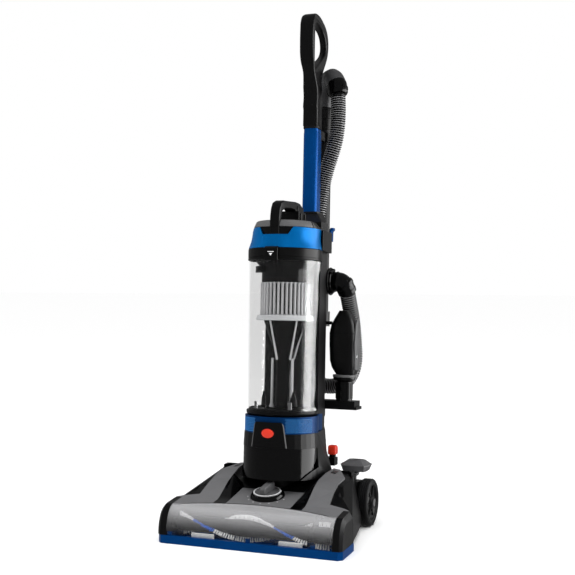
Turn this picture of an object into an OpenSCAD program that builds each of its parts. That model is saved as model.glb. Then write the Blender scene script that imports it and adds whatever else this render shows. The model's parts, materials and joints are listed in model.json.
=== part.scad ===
// Upright bagless vacuum cleaner: a wide floor nozzle on two rear wheels, and a leaning upright with
// the motor housing, the clear dirt tank, the handle, the stretch hose, the wand and a hand tool.
// X is across the machine, Y runs from the nozzle's front to the back, Z is up.

/* [Foot] */
// Width across the nozzle
foot_w = 376; // [370:1:380]
// Height of the nozzle's front edge box
nozzle_h = 72; // [71:1:73]
// Thickness of the blue nozzle base
base_h = 16; // [15:1:16]
// Radius of a rear wheel
wheel_r = 49; // [46:1:49]

/* [Upright] */
// Backward lean of the parked upright, in degrees
lean = 2.5; // [2:0.5:3]
// Radius of the dirt tank at its foot
tank_r = 71.5; // [70:0.5:72]
// Radius of the dirt tank at its rim
tank_top_r = 74; // [73:0.5:74]
// Radius of the motor barrel that the upright tilts on
barrel_r = 46; // [45:1:46]

/* [Hose and wand] */
// Outer radius of the stretch hose
hose_r = 17; // [16:0.5:17]
// Outer radius of the extension wand
wand_r = 17; // [16:0.5:17]

/* [Hidden] */
$fn = 64;

front_y = -241.2;          // nozzle front edge, so that the whole machine is centred on the origin
gap = 0.3;                // running gap between neighbours
wall = 3;                 // moulded wall
half_w = foot_w / 2;
cap_w = 18;               // thickness of a nozzle end cap
window_x = half_w - cap_w - 1;
arch_y = 32;              // depth of the curved window at its ends
bow_x = 154;              // half width and depth of the window's bowed rear edge
bow_y = 59;
chamber_y = 79;           // depth of the nozzle base
base_screw_x = [-150, -82, 82, 150];
brush_y = 38;
brush_z = 34;
brush_r = 15;
bristle_r = 26;
helix_x = -110;
helix_length = 330;
pivot_y = 183;            // tilt axis, measured from the nozzle front
pivot_z = 60;
belt_x = 120;             // middle of the drive belt, and its width
belt_w = 8;
wheel_y = 284;
wheel_x = 146;
wheel_w = 24;
block_x0 = 98;            // inner and outer faces of the two side blocks
block_x1 = 142;
deck_slope = atan(12 / 70);
deck_x = 66.7;            // half width of the sunken deck, and of the slopes beside it
slope_x = 91.8;
cover_t = 3.4;            // thickness of the grey cover
dial_y = 110;
dial_z = 83.6;
pedal_pin_y = 246;
pedal_pin_z = 104;
trunnion_r = 14;
power_x = 75;
power_v = 114;
inlet_x = -17;
inlet_w = 232;
spine_screws = [[-24, 262], [24, 262], [-24, 520], [24, 520]];
band_w0 = 203.3;          // blue band of the motor housing
band_w1 = 237;
door_w0 = 238;            // dirt tank, from its door to its rim
wall_w0 = 247;
rim_w0 = 552.3;
rim_w1 = 576.7;
lid_w0 = 577;
lid_w1 = 620;
separator_v = 6;          // axis of the cyclone, and the heights of its parts from the door up
funnel_w0 = 251.2;
funnel_w1 = 352;
skirt_w0 = 430;
screen_w0 = 441;
hood_w0 = 508.2;
spine_rear_v = 184;
tube_v = 160;
wand_v = 242;             // axis of the wand, its foot, its top and its cuff
wand_w0 = 425;
wand_w1 = 900;
cuff_w0 = 872;
clip_w0 = 842;
cup_w0 = 420;
port_v = 114;
port_w = 517;
tool_v = 118;
tool_x = 97;
shelf_w = 262;
hook_v = 160;
hook_w = 616;

hose_route = [
    [43, 207, 945], [45, 205, 915], [45, 204, 880], [41, 204, 845], [33, 203, 812], [23, 203, 780],
    [15, 203, 750], [10, 203, 720], [4, 203, 680], [-4, 203, 635], [-13, 203, 585], [-22, 203, 530],
    [-28, 203, 470], [-30, 203, 410], [-30, 203, 353], [-24, 203, 325], [-10, 203, 303],
    [12, 203, 290], [36, 202, 286], [60, 198, 290], [82, 191, 303], [96, 184, 325],
    [102, 178, 353], [102, 172, 385], [101, 165, 415], [100, 155, 442], [98, 142, 470],
    [97, 129, 494]
];
elbow_route = [
    [0, 242, 924], [0, 242, 948], [3, 240, 969], [13, 232, 985], [27, 220, 985], [37, 211.5, 971],
    [41, 208.5, 957], [43, 207, 945.4]
];
elbow_radii = [15, 18, 20.5, 21.5, 22, 23, 23, 21];
port_route = [
    [71.2, 114, 517], [76, 114, 517], [86, 116, 515.5], [93.5, 121, 507.5], [97, 128.8, 494.5]
];
port_radii = [17, 19.5, 20, 19.5, 18.5];

// ---------------------------------------------------------------- helpers

function unit(v) = v / norm(v);
function lerp(a, b, t) = a + (b - a) * t;
// Catmull-Rom point number i + t along a route
function spline_point(p, i, t) =
    let (n = len(p) - 1, a = p[max(i - 1, 0)], b = p[i], c = p[min(i + 1, n)], d = p[min(i + 2, n)])
    0.5 * (2 * b + (c - a) * t + (2 * a - 5 * b + 4 * c - d) * t * t
        + (3 * b - a - 3 * c + d) * t * t * t);
function spline(p, steps) = concat(
    [for (i = [0:len(p) - 2]) for (s = [0:steps - 1]) spline_point(p, i, s / steps)],
    [p[len(p) - 1]]);
function tangent(p, i) = unit(p[min(i + 1, len(p) - 1)] - p[max(i - 1, 0)]);
// Values between the points of a route, in as many steps as spline() takes
function spread(v, steps) = concat(
    [for (i = [0:len(v) - 2]) for (s = [0:steps - 1]) lerp(v[i], v[i + 1], s / steps)],
    [v[len(v) - 1]]);
// Rings round a route; a fixed side vector keeps them from twisting
function rings(p, r, sides, side) = [
    for (i = [0:len(p) - 1])
        let (t = tangent(p, i), u = unit(side - t * (side * t)), w = cross(t, u))
        for (k = [0:sides - 1]) p[i] + (r[i]) * (u * cos(360 * k / sides) + w * sin(360 * k / sides))
];

// A tube of changing radius along a list of points, closed at both ends
module sweep(p, r, sides = 12, side = [0, 1, 0]) {
    n = len(p);
    faces = concat(
        [[for (k = [0:sides - 1]) k]],
        [for (i = [0:n - 2]) for (k = [0:sides - 1])
            let (a = i * sides + k, b = i * sides + (k + 1) % sides)
            [b, a, a + sides]],
        [for (i = [0:n - 2]) for (k = [0:sides - 1])
            let (a = i * sides + k, b = i * sides + (k + 1) % sides)
            [b, a + sides, b + sides]],
        [[for (k = [sides - 1:-1:0]) (n - 1) * sides + k]]);
    polyhedron(rings(p, r, sides, side), faces, convexity = 6);
}

module on_foot() {
    translate([0, front_y, 0]) children();
}

// Frame of the upright: its own y is called v and its z is called w in the names above
module on_upright() {
    translate([0, front_y + pivot_y, pivot_z]) rotate([-lean, 0, 0])
        translate([0, 0, -pivot_z]) children();
}

// Extrudes a (y, z) outline along X
module xbar(x0, x1) {
    translate([x0, 0, 0]) rotate([90, 0, 90]) linear_extrude(x1 - x0) children();
}

// A rod along X
module xrod(x0, x1, r) {
    translate([x0, 0, 0]) rotate([0, 90, 0]) cylinder(h = x1 - x0, r = r);
}

// A rod along the upright's v
module vrod(v0, v1, r) {
    translate([0, v0, 0]) rotate([-90, 0, 0]) cylinder(h = v1 - v0, r = r);
}

module both_sides() {
    children();
    mirror([1, 0, 0]) children();
}

// Rectangle with true round corners
module round_rect(w, d, r) {
    square([w - 2 * r, d], center = true);
    square([w, d - 2 * r], center = true);
    for (x = [-1, 1], y = [-1, 1]) translate([x * (w / 2 - r), y * (d / 2 - r)]) circle(r);
}

module screw(r, h) {
    difference() {
        union() {
            cylinder(h = 2, r = r * 1.9);
            translate([0, 0, -h]) cylinder(h = h, r = r);
        }
        for (a = [0, 90]) rotate([0, 0, a]) translate([-r * 1.2, -0.5, 1]) cube([r * 2.4, 1, 2]);
    }
}

// ---------------------------------------------------------------- foot

// Quarter ellipse of the window's side view, from the front edge to the top
function arch(inset) = [
    for (a = [180:-7.5:90])
        [arch_y + (arch_y - inset) * cos(a), base_h + gap + (nozzle_h - base_h - inset) * sin(a)]
];

module nozzle_base() {
    chamfer = 8;
    color("#0b3a8c") on_foot() difference() {
        linear_extrude(base_h) polygon([
            [-half_w, chamfer], [chamfer - half_w, 0], [half_w - chamfer, 0], [half_w, chamfer],
            [half_w, chamber_y], [-half_w, chamber_y]
        ]);
        translate([-166, 7, 4]) cube([332, 65, base_h]);
        for (x = [-160:64:96]) translate([x + 1.5, 14, -1]) cube([61, 50, 8]);
        for (x = base_screw_x) translate([x, 68, -1]) {
            cylinder(h = 3.1, r = 3.6);
            cylinder(h = 9, r = 1.9);
        }
    }
    color("#1560c0") on_foot() for (x = [-168, -4, 126]) translate([x, 4, base_h]) cube([9, 3, 7]);
}

module felt_strips() {
    color("white") on_foot() for (x = [-118, 62]) translate([x, 7.5, 4.1]) cube([46, 5, 19]);
}

// Area in front of the window's bowed rear edge, which runs furthest back in the middle
module bow_plan(extra) {
    polygon(concat(
        [[bow_x, arch_y - 10], [-bow_x, arch_y - 10]],
        [for (x = [-bow_x:14:bow_x]) [x, bow_y - (bow_y - arch_y) * pow(x / bow_x, 2) + extra]]));
}

module nozzle_window() {
    front = arch_y - 0.1;
    top = nozzle_h + gap - 0.4;
    rear_top = top + 0.12 * (bow_y - arch_y);
    color("#b8bcc0", 0.4) on_foot() {
        xbar(-window_x, window_x) polygon(concat(
            arch(0.4), [for (i = [len(arch(3)) - 1:-1:0]) arch(3)[i]]));
        intersection() {
            xbar(-bow_x, bow_x) polygon([
                [front, top - 2.6], [bow_y, rear_top - 2.6], [bow_y, rear_top], [front, top]
            ]);
            linear_extrude(100) bow_plan(0);
        }
    }
}

module end_cap() {
    bevel = 6;
    outline = concat(arch(0), [[69.8, 75.8], [69.8, 73], [chamber_y, 69], [chamber_y, base_h + gap]]);
    function shrunk(s) = [
        for (p = outline) [36 + (p[0] - 36) * s, base_h + gap + (p[1] - base_h) * s]
    ];
    on_foot() difference() {
        union() {
            xbar(window_x + gap, half_w - bevel) polygon(outline);
            hull() {
                xbar(half_w - bevel, half_w - bevel + 0.1) polygon(outline);
                xbar(half_w - 0.1, half_w) polygon(shrunk(0.86));
            }
        }
        translate([0, brush_y, brush_z]) xrod(window_x - 1, window_x + 9, 11.1);
    }
}

module end_cap_right() {
    color("#1b1b1c") end_cap();
}

module end_cap_left() {
    color("#1b1b1c") mirror([1, 0, 0]) end_cap();
}

module brush_bearings() {
    color("silver") on_foot() both_sides() translate([0, brush_y, brush_z]) difference() {
        xrod(window_x - 7, window_x + 8.8, 11);
        xrod(window_x - 8, window_x + 5, 5.05);
    }
}

// Arm of the cover from front to rear: y, then x and z of its inner and outer top edges
arm_sections = [
    [70.2, 92, 76.9, 181.5, 76.9], [78, 92, 79.4, 171, 78.4], [86, 92, 83.1, 137, 82.5],
    [126, 92, 104.5, 134, 100], [155, 92, 114.5, 133, 109.5], [190, 95, 121.5, 136, 115],
    [237, 97.5, 124, 112, 122]
];

// One arm between two depths under its top surface; reach widens it past its outer edge
module arm(under, over, reach) {
    n = len(arm_sections);
    points = [
        for (s = arm_sections)
            let (x = s[3] + reach, z = s[4] + reach * (s[4] - s[2]) / (s[3] - s[1]))
            for (p = [[s[1], s[2] - under], [x, z - under], [x, z + over], [s[1], s[2] + over]])
                [p[0], s[0], p[1]]
    ];
    faces = concat(
        [[3, 2, 1, 0]],
        [for (i = [0:n - 2]) for (k = [0:3])
            let (a = i * 4 + k, b = i * 4 + (k + 1) % 4)
            [a, b, a + 4]],
        [for (i = [0:n - 2]) for (k = [0:3])
            let (a = i * 4 + k, b = i * 4 + (k + 1) % 4)
            [b, b + 4, a + 4]],
        [[for (k = [0:3]) (n - 1) * 4 + k]]);
    polyhedron(points, faces, convexity = 4);
}

// The grey top: nozzle band, sunken deck with the dial, and the two arms
module foot_cover() {
    t = cover_t;
    color("#5c5d5f") on_foot() difference() {
        union() {
            xbar(-window_x, window_x) polygon([
                [arch_y, nozzle_h + gap], [arch_y, nozzle_h - t + gap], [71, 73.6], [71, 77]
            ]);
            xbar(-deck_x, deck_x) polygon([[70, 76.9], [142, 89.2], [142, 85.8], [70, 73.5]]);
            both_sides() arm(t, 0, 0);
        }
        translate([0, 0, 60]) linear_extrude(40) bow_plan(gap);
        translate([0, dial_y, dial_z]) rotate([deck_slope, 0, 0]) translate([0, 0, -20])
            cylinder(h = 40, r = 7.2);
        both_sides() translate([101, 200, 100]) cube([12, 22, 40]);
    }
}

module block_outline() {
    polygon([
        [79.4, 12], [79.4, 76.6], [84, 78.3], [140, 108.3], [182, 119.3], [238, 120.3], [240, 96],
        [306, 91], [310, 80], [310, 20], [302, 12]
    ]);
}

// Black lower body: nozzle chamber wall, floor, and the blocks that carry wheels and tilt axis
module foot_chassis() {
    color("#151516") on_foot() difference() {
        union() {
            translate([-168, 72.4, base_h + gap]) cube([336, 2.6, 56.4]);
            translate([-96, 72.6, base_h + gap]) cube([192, 10, 4]);
            translate([-97, 79.6, 4]) cube([194, 4, 17.6]);
            translate([-100, 79.6, 4]) cube([200, 154, 6]);
            translate([-104, 292, 4]) cube([208, 12, 16]);
            translate([0, dial_y, dial_z]) rotate([deck_slope, 0, 0]) translate([0, 0, -18])
                cylinder(h = 13.5, r = 16);
            translate([-16, dial_y - 16, 9]) cube([32, 32, 57]);
            both_sides() {
                intersection() {
                    xbar(50, block_x1) block_outline();
                    linear_extrude(200) polygon([
                        [slope_x, 79.4], [block_x1, 79.4], [block_x1, 310], [block_x0, 310],
                        [block_x0, 174], [slope_x, 155]
                    ]);
                }
                // Slope beside the deck: level at the front and steep next to the housing
                hull() for (p = [[79.5, 78.4, 79.8], [142, 89, 109.8], [155, 91.4, 114.3]])
                    translate([0, p[0], 0]) rotate([90, 0, 0]) linear_extrude(0.1)
                        polygon([[deck_x + gap, 20], [slope_x, 20], [slope_x, p[2]], [deck_x + gap, p[1]]]);
                hull() {
                    translate([block_x1 - 2, 80, 14]) cube([44, 2, 54]);
                    translate([block_x1 - 2, 86, 14]) cube([1, 1, 64]);
                    translate([block_x1 - 2, 126, 14]) cube([2.4, 1, 86]);
                    translate([block_x1 - 2, 224, 14]) cube([3, 2, 100]);
                    translate([block_x1 - 2, 224, 14]) cube([20, 2, 20]);
                }
                translate([104, pedal_pin_y - 8, 90]) cube([6, 16, 22]);
                translate([138.4, pedal_pin_y - 8, 90]) cube([3.6, 16, 22]);
            }
            for (x = [-72, -48, 45, 69]) translate([x, 88, 4]) cube([3, 22, 14]);
        }
        both_sides() {
            translate([slope_x - 92, 0, 0]) arm(cover_t + 4 * gap, 60, 20);
            xbar(104, 136) polygon([
                [86, 16], [86, 65], [140, 92], [182, 102], [226, 104], [226, 16]
            ]);
            translate([104, 234, 18]) cube([32, 68, 68]);
            translate([0, wheel_y, wheel_r]) xrod(130, 150, 5.05);
            translate([0, pedal_pin_y, pedal_pin_z]) xrod(100, 150, 2.55);
            translate([0, pivot_y, pivot_z]) xrod(90, 110, trunnion_r + 0.05);
            for (x = [-69, 48]) translate([x, 86, -1]) cube([21, 26, 12]);
            translate([0, 99, 10]) xrod(40, 80, 2.55);
        }
        translate([belt_x - 8, 70, 18]) cube([16, 20, 50]);
        translate([0, dial_y, dial_z]) rotate([deck_slope, 0, 0]) translate([0, 0, -40])
            cylinder(h = 60, r = 6.05);
        translate([-60, 70, 24]) cube([40, 12, 34]);
        translate([0, pivot_y, pivot_z]) xrod(-97, 97, barrel_r + 1.6);
    }
}

// Short duct from the brush chamber to the left block
module suction_duct() {
    color("#2a2a2b") on_foot() difference() {
        translate([-59.6, 72.5, 24.4]) cube([39.2, 40, 33.2]);
        translate([-56.6, 70, 27.4]) cube([33.2, 60, 27.2]);
    }
}

module drive_belt() {
    reach = [brush_y - pivot_y, brush_z - pivot_z];
    thick = 1.6;
    module run(extra) {
        hull() {
            circle(8.2 + extra, $fn = 32);
            translate(reach) circle(12.3 + extra, $fn = 32);
        }
    }
    color("#202020") on_foot() translate([0, pivot_y, pivot_z])
        xbar(belt_x - belt_w / 2, belt_x + belt_w / 2) difference() {
            run(thick);
            run(0);
        }
}

module foot_axles() {
    color("silver") on_foot() both_sides() {
        translate([0, wheel_y, wheel_r]) {
            xrod(124, wheel_x + wheel_w + 0.5, 5);
            xrod(wheel_x + wheel_w + 0.4, wheel_x + wheel_w + 2.4, 8);
        }
        translate([0, pedal_pin_y, pedal_pin_z]) xrod(103, 142.5, 2.5);
        translate([0, 99, 10]) xrod(44, 73, 2.5);
    }
}

module foot_screws() {
    color("silver") on_foot() for (x = base_screw_x) translate([x, 68, 2]) rotate([180, 0, 0])
        screw(1.8, 4);
}

module dial_bezel() {
    color("#111111") on_foot() translate([0, dial_y, dial_z]) rotate([deck_slope, 0, 0]) difference() {
        translate([0, 0, gap]) cylinder(h = 7.2, r1 = 35, r2 = 30.5);
        translate([0, 0, -1]) cylinder(h = 20, r = 7);
    }
}

module height_dial() {
    color("#6f7072") on_foot() translate([0, dial_y, dial_z]) rotate([deck_slope, 0, 0]) {
        translate([0, 0, -18]) cylinder(h = 26, r = 6);
        translate([0, 0, 7.8]) cylinder(h = 2.6, r1 = 28.5, r2 = 26.5);
        rotate([0, 0, -10]) xbar(-6.5, 6.5)
            polygon([[-20, 10], [-20, 20], [-16, 22.5], [8, 25.5], [16, 25], [20, 22], [21, 10]]);
    }
}

module wheel(x) {
    on_foot() translate([x, wheel_y, wheel_r]) children();
}

module tyre() {
    rotate([0, 90, 0]) rotate_extrude($fn = 96) polygon([
        [41, 0.5], [wheel_r - 4, 0.5], [wheel_r, 4], [wheel_r, wheel_w - 5],
        [wheel_r - 4, wheel_w - 0.5], [41, wheel_w - 0.5]
    ]);
}

module hub() {
    difference() {
        rotate([0, 90, 0]) rotate_extrude($fn = 96) polygon([
            [5.05, 1], [13, 1], [13, 9], [33, 9], [36, 1.5], [40.8, 1.5], [40.8, wheel_w - 1.5],
            [36, wheel_w - 1.5], [32, wheel_w - 6], [14, wheel_w - 4], [12, wheel_w], [5.05, wheel_w]
        ]);
        for (a = [0:60:300]) rotate([a, 0, 0]) translate([wheel_w - 8, -1.5, 17]) cube([2.5, 3, 12]);
    }
}

module tyre_right() { color("#131313") wheel(wheel_x) tyre(); }
module hub_right() { color("#1d1d1e") wheel(wheel_x) hub(); }
module tyre_left() { color("#131313") mirror([1, 0, 0]) wheel(wheel_x) tyre(); }
module hub_left() { color("#1d1d1e") mirror([1, 0, 0]) wheel(wheel_x) hub(); }

module roller() {
    on_foot() translate([0, 99, 10]) difference() {
        xrod(49, 68, 10);
        xrod(48, 69, 2.6);
    }
}

module roller_right() { color("#303030") roller(); }
module roller_left() { color("#303030") mirror([1, 0, 0]) roller(); }

// Grey foot pedal that frees the upright; it hinges on the right block
module release_pedal() {
    color("#6a6b6d") on_foot() {
        difference() {
            union() {
                translate([0, pedal_pin_y, pedal_pin_z]) xrod(110.4, 138, 6);
                translate([110.4, pedal_pin_y, pedal_pin_z + 1]) cube([27.6, 40, 5]);
                translate([110.4, 276, pedal_pin_z + 5]) cube([27.6, 16, 6]);
            }
            translate([0, pedal_pin_y, pedal_pin_z]) xrod(100, 150, 2.55);
        }
        translate([129, 294, 113]) difference() {
            hull() {
                linear_extrude(0.1) polygon([
                    [-22, -22], [22, -22], [26, -10], [26, 12],
                    [16, 21], [-16, 21], [-26, 12], [-26, -10]
                ]);
                translate([0, 0, 12]) linear_extrude(0.1) polygon([
                    [-24, -24], [24, -24], [31, -10], [31, 14],
                    [20, 25], [-20, 25], [-31, 14], [-31, -10]
                ]);
                translate([0, 2, 21]) linear_extrude(0.1) polygon([
                    [-14, -14], [14, -14], [18, -6], [18, 8],
                    [12, 14], [-12, 14], [-18, 8], [-18, -6]
                ]);
            }
            translate([-8, -4, 20.2]) cube([16, 12, 4]);
        }
    }
}

module pedal_spring() {
    turns = 5;
    steps = 12;
    r = 5.5;
    height = 7;
    centre = [118, 264, 96.6];
    coil = [for (i = [0:turns * steps])
        centre + [r * cos(360 * i / steps), r * sin(360 * i / steps), height * i / (turns * steps)]];
    color("silver") on_foot() sweep(coil, [for (p = coil) 0.6], 6, [0, 0, 1]);
}

// ---------------------------------------------------------------- brush roll

module on_brush() {
    on_foot() translate([0, brush_y, brush_z]) children();
}

module brush_core() {
    color("#27282a") on_brush() {
        xrod(-158, belt_x - 5, brush_r);
        xrod(belt_x - 5, belt_x + 5, 12);
        xrod(belt_x + 5, 158, brush_r);
        xrod(-162, -158, 8);
        xrod(158, 162, 8);
        xrod(-169, -162, 5);
        xrod(162, 169, 5);
    }
}

// Two opposed helices of tufts; each turns once in helix_length and faces the front at helix_x
module brush_bristles() {
    root = brush_r + 0.1;
    color("white") on_brush() for (start = [90, 270], i = [0:23]) {
        x = -150 + i * 13;
        angle = start + 360 * (x - helix_x) / helix_length;
        if (abs(x - belt_x) > 9) translate([x, 0, 0]) rotate([angle, 0, 0])
            translate([0, 0, root]) cylinder(h = bristle_r - root, r = 2.2, $fn = 16);
    }
}

// ---------------------------------------------------------------- motor housing

// Plan outlines of the housing: a round front of radius r, then points down the right side
function housing_plan(r, rear) = concat(
    [for (a = [180:10:360]) [r * cos(a), r * sin(a)]], rear,
    [for (i = [len(rear) - 1:-1:0]) [-rear[i][0], rear[i][1]]]);
function shifted(rear, t) = [for (p = rear) p - [t, t]];

// Each stage runs from one outline to the next; the second starts with a flat underside
underside_w = 112;
neck_plan = [[78, 26], [76, 50], [50, 58]];
waist_plan = [[88, 30], [89, 74], [76, 94]];
housing_stages = [
    [[84, 36, neck_plan], [underside_w, 38, waist_plan]],
    [[underside_w, 82, waist_plan], [160, 79, [[80, 30], [78, 62], [46, 134]]]],
    [[160, 79, [[80, 30], [78, 62], [46, 134]]],
        [band_w0 - gap, 77, [[72, 34], [64, 92], [30, spine_rear_v]]]]
];

// One stage, shrunk by t on its sides and cut or grown at its ends
module housing_stage(ends, t, low, high) {
    hull() {
        translate([0, 0, ends[0][0] + low]) linear_extrude(0.05)
            polygon(housing_plan(ends[0][1] - t, shifted(ends[0][2], t)));
        translate([0, 0, ends[1][0] + high - 0.05]) linear_extrude(0.05)
            polygon(housing_plan(ends[1][1] - t, shifted(ends[1][2], t)));
    }
}

// Hollow casing with the motor barrel, the tilt trunnions, the filter well and the tank's seat
module motor_housing() {
    color("#161617") on_upright() difference() {
        union() {
            difference() {
                for (stage = housing_stages) housing_stage(stage, 0, 0, 0);
                housing_stage(housing_stages[0], wall, wall, wall + 1);
                housing_stage(housing_stages[1], wall, wall, 0.1);
                housing_stage(housing_stages[2], wall, 0, 0.1);
                translate([0, 0, 112]) intersection() {
                    rotate([90, 0, 0]) linear_extrude(120) polygon([
                        [-62, 0], [62, 0], [84, 24], [78, 62], [-78, 62], [-84, 24]
                    ]);
                    difference() {
                        translate([-120, -120, -10]) cube([240, 120, 90]);
                        translate([0, 0, -20]) cylinder(h = 110, r = 77.2);
                    }
                }
            }
            translate([0, 0, 112]) intersection() {
                difference() {
                    cylinder(h = 64, r = 77.6);
                    translate([0, 0, -1]) cylinder(h = 70, r = 74.8);
                }
                translate([-120, -120, -1]) cube([240, 104, 66]);
            }
            translate([0, 0, pivot_z]) xrod(-81, 81, barrel_r);
            translate([0, 0, band_w0 - gap - wall]) cylinder(h = wall, r = 75);
            translate([0, 0, band_w0 - gap - wall]) difference() {
                cylinder(h = band_w1 - band_w0 + wall, r = 60);
                translate([0, 0, -1]) cylinder(h = 60, r = 57);
            }
            translate([0, 0, band_w1 - wall]) cylinder(h = wall, r = 71);
            translate([50, power_v - 12, 124]) cube([power_x - 42, 24, 16.5]);
        }
        translate([0, 0, pivot_z]) xrod(-78, 78, barrel_r - wall);
        translate([0, 0, pivot_z]) xrod(-90, 90, 6);
        translate([power_x, power_v, 120]) cylinder(h = 30, r = 5.05);
        translate([0, 0, 150]) cylinder(h = band_w1 - wall - 150.1, r = 57);
    }
    color("#161617") on_upright() translate([0, 0, pivot_z]) both_sides() difference() {
        xrod(80.9, 103.6, trunnion_r);
        xrod(70, 110, 6);
    }
}

// Blue band with the perforated exhaust on both sides
module exhaust_grille() {
    h = band_w1 - band_w0 - gap;
    color("#0d47a1") on_upright() translate([0, 0, band_w0]) difference() {
        union() {
            cylinder(h = h, r = 75.5);
            translate([-67, 0, 0]) cube([134, 62, h]);
        }
        translate([0, 0, -1]) cylinder(h = h + 2, r = 72.5);
        translate([-64, 0, -1]) cube([128, 80, h + 2]);
        both_sides() for (row = [0:5], col = [0:7])
            rotate([0, 0, -62 + col * 6 + (row % 2) * 3]) translate([0, 0, 5 + row * 4.6])
                xrod(70, 80, 1.5, $fn = 16);
    }
}

module badge_panel() {
    color("#0c0c0d") on_upright() intersection() {
        difference() {
            translate([0, 0, 176.5]) cylinder(h = 52, r = 81.6);
            translate([0, 0, 170]) cylinder(h = 33.2, r = 79.2);
            translate([0, 0, 200]) cylinder(h = 40, r = 77.6);
        }
        rotate([90, 0, 0]) linear_extrude(120)
            polygon([[-37, 176], [37, 176], [30, 221], [26, 228], [-26, 228], [-30, 221]]);
    }
}

// Hollow rear duct behind the tank; it carries the handle tube, the hose port, the hooks and the inlet
module rear_spine() {
    outline = [[-60, 40], [60, 40], [62, 92], [30, spine_rear_v], [-30, spine_rear_v], [-62, 92]];
    inner = [
        [-57, 43], [57, 43], [59, 91.4], [27.8, spine_rear_v - wall], [-27.8, spine_rear_v - wall],
        [-59, 91.4]
    ];
    base = band_w0;
    color("#232425") on_upright() difference() {
        union() {
            translate([0, 0, base]) linear_extrude(640 - base) polygon(outline);
            translate([0, tube_v, 600]) linear_extrude(72) round_rect(46, 50, 12);
            translate([0, port_v, port_w]) xrod(35, 62.4, 27);
        }
        difference() {
            translate([0, 0, base + wall]) linear_extrude(640 - 2 * wall - base) polygon(inner);
            translate([0, 0, base]) cylinder(h = 450, r = 81.5);
            translate([0, tube_v, 550]) linear_extrude(100) round_rect(40, 46, 12);
            translate([0, port_v, port_w]) xrod(35, 62.4, 27);
            for (p = spine_screws) translate([p[0], 0, p[1]]) vrod(165, spine_rear_v, 4);
        }
        translate([0, 0, base - 1]) cylinder(h = 460, r = 78.5);
        translate([0, tube_v, 561]) linear_extrude(120) round_rect(34.3, 42.3, 12);
        translate([0, port_v, port_w]) xrod(30, 80, 20.2);
        translate([0, hook_v, hook_w]) xrod(30, 80, 8.05);
        translate([inlet_x, 0, inlet_w]) vrod(170, 200, 8.1);
        for (p = spine_screws) translate([p[0], 0, p[1]]) vrod(172, 190, 1.9);
        translate([-40, 150, 678]) rotate([-14, 0, 0]) cube([80, 60, 30]);
    }
}

// Blue collar that carries the lid's band on round the spine
module spine_collar() {
    color("#0d57b5") on_upright() difference() {
        translate([0, 0, 576]) linear_extrude(44)
            polygon([[-66.5, 46], [66.5, 46], [66, 94], [64, 97], [-64, 97], [-66, 94]]);
        translate([0, 0, 570]) linear_extrude(60)
            polygon([[-62.4, 30], [62.4, 30], [62.3, 92], [57, 108], [-57, 108], [-62.3, 92]]);
        translate([0, 0, 570]) cylinder(h = 60, r = 78.5);
    }
}

module handle_tube() {
    color("#0f5fc4") on_upright() translate([0, tube_v, 561.2]) difference() {
        linear_extrude(301) round_rect(34, 42, 12);
        translate([0, 0, -1]) linear_extrude(303) round_rect(30, 38, 10);
    }
}

// Side view of the grip, (v, w) points: its outline and the finger hole
grip_outer = [
    [139, 862.5], [139, 930], [133, 955], [124, 980], [112, 1003], [106, 1022], [104, 1050],
    [105, 1078], [109, 1094], [118, 1106], [136, 1113.5], [160, 1116], [188, 1114], [213, 1107],
    [230, 1095], [239, 1078], [240, 1058], [234, 1039], [223, 1022], [208, 1003], [192, 980],
    [183, 962], [181, 950], [181, 862.5]
];
grip_hole = [
    [129, 996], [126, 1020], [125, 1050], [126, 1074], [131, 1087], [142, 1094], [168, 1094.5],
    [194, 1090], [213, 1080], [221, 1066], [221, 1052], [212, 1038], [190, 1022], [165, 1007],
    [142, 993], [134, 989]
];
// Half of the grip's width at each v: full at the front strap, slim at the rear one
grip_half = [[14, 103], [16, 108], [16, 116], [13, 128], [11.5, 160], [8.5, 200], [8, 238]];

// Closed loop grip with a spigot down into the tube
module grip_loop() {
    color("#101011") on_upright() {
        intersection() {
            difference() {
                xbar(-17, 17) polygon(grip_outer);
                xbar(-20, 20) polygon(grip_hole);
            }
            union() {
                translate([0, 0, 940]) linear_extrude(180) both_sides()
                    polygon(concat([[0, 103]], grip_half, [[0, 238]]));
                translate([0, 0, 860]) linear_extrude(90) square([30, 400], center = true);
            }
        }
        xbar(-17, 17) polygon([[139.5, 862.5], [138.5, 934], [181, 958], [181, 862.5]]);
        translate([-11, 146, 836]) cube([22, 28, 27]);
    }
}

module motor_can() {
    color("silver") on_upright() translate([0, 0, pivot_z]) difference() {
        union() {
            xrod(-42, 52, 38);
            xrod(52, 60, 18);
        }
        xrod(-50, 70, 4.1);
    }
}

module exhaust_filter() {
    color("white") on_upright() translate([0, 0, 206]) difference() {
        cylinder(h = 24, r = 56);
        for (a = [0:20:340]) rotate([0, 0, a]) translate([20, -2, 6]) cube([34, 4, 20]);
    }
}

module motor_shaft() {
    color("silver") on_upright() translate([0, 0, pivot_z]) {
        xrod(-66, 116, 4);
        xrod(115.9, 124, 8);
        xrod(124, 126, 9.5);
        xrod(113.6, 115.9, 9.5);
    }
}

module impeller() {
    color("#d8d8d8") on_upright() translate([0, 0, pivot_z]) difference() {
        union() {
            xrod(-62, -60, 38);
            xrod(-60, -46, 9);
            for (a = [0:45:315]) rotate([a, 0, 0]) translate([-60.1, -1, 8]) cube([13, 2, 29]);
        }
        xrod(-70, -40, 4.02);
    }
}

// Red foot switch on the right rear corner of the housing
module power_pedal() {
    color("#e6352b") on_upright() {
        translate([power_x, power_v, 131]) cylinder(h = 16, r = 5);
        translate([0, power_v - 11, 146.5]) xbar(power_x - 8, power_x + 9)
            polygon([[0, 0], [22, 0], [22, 14], [18, 18], [4, 18], [0, 14]]);
        for (v = [-6:5:4]) translate([power_x - 6, power_v + v, 164.4]) cube([13, 2, 1.6]);
    }
}

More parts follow.
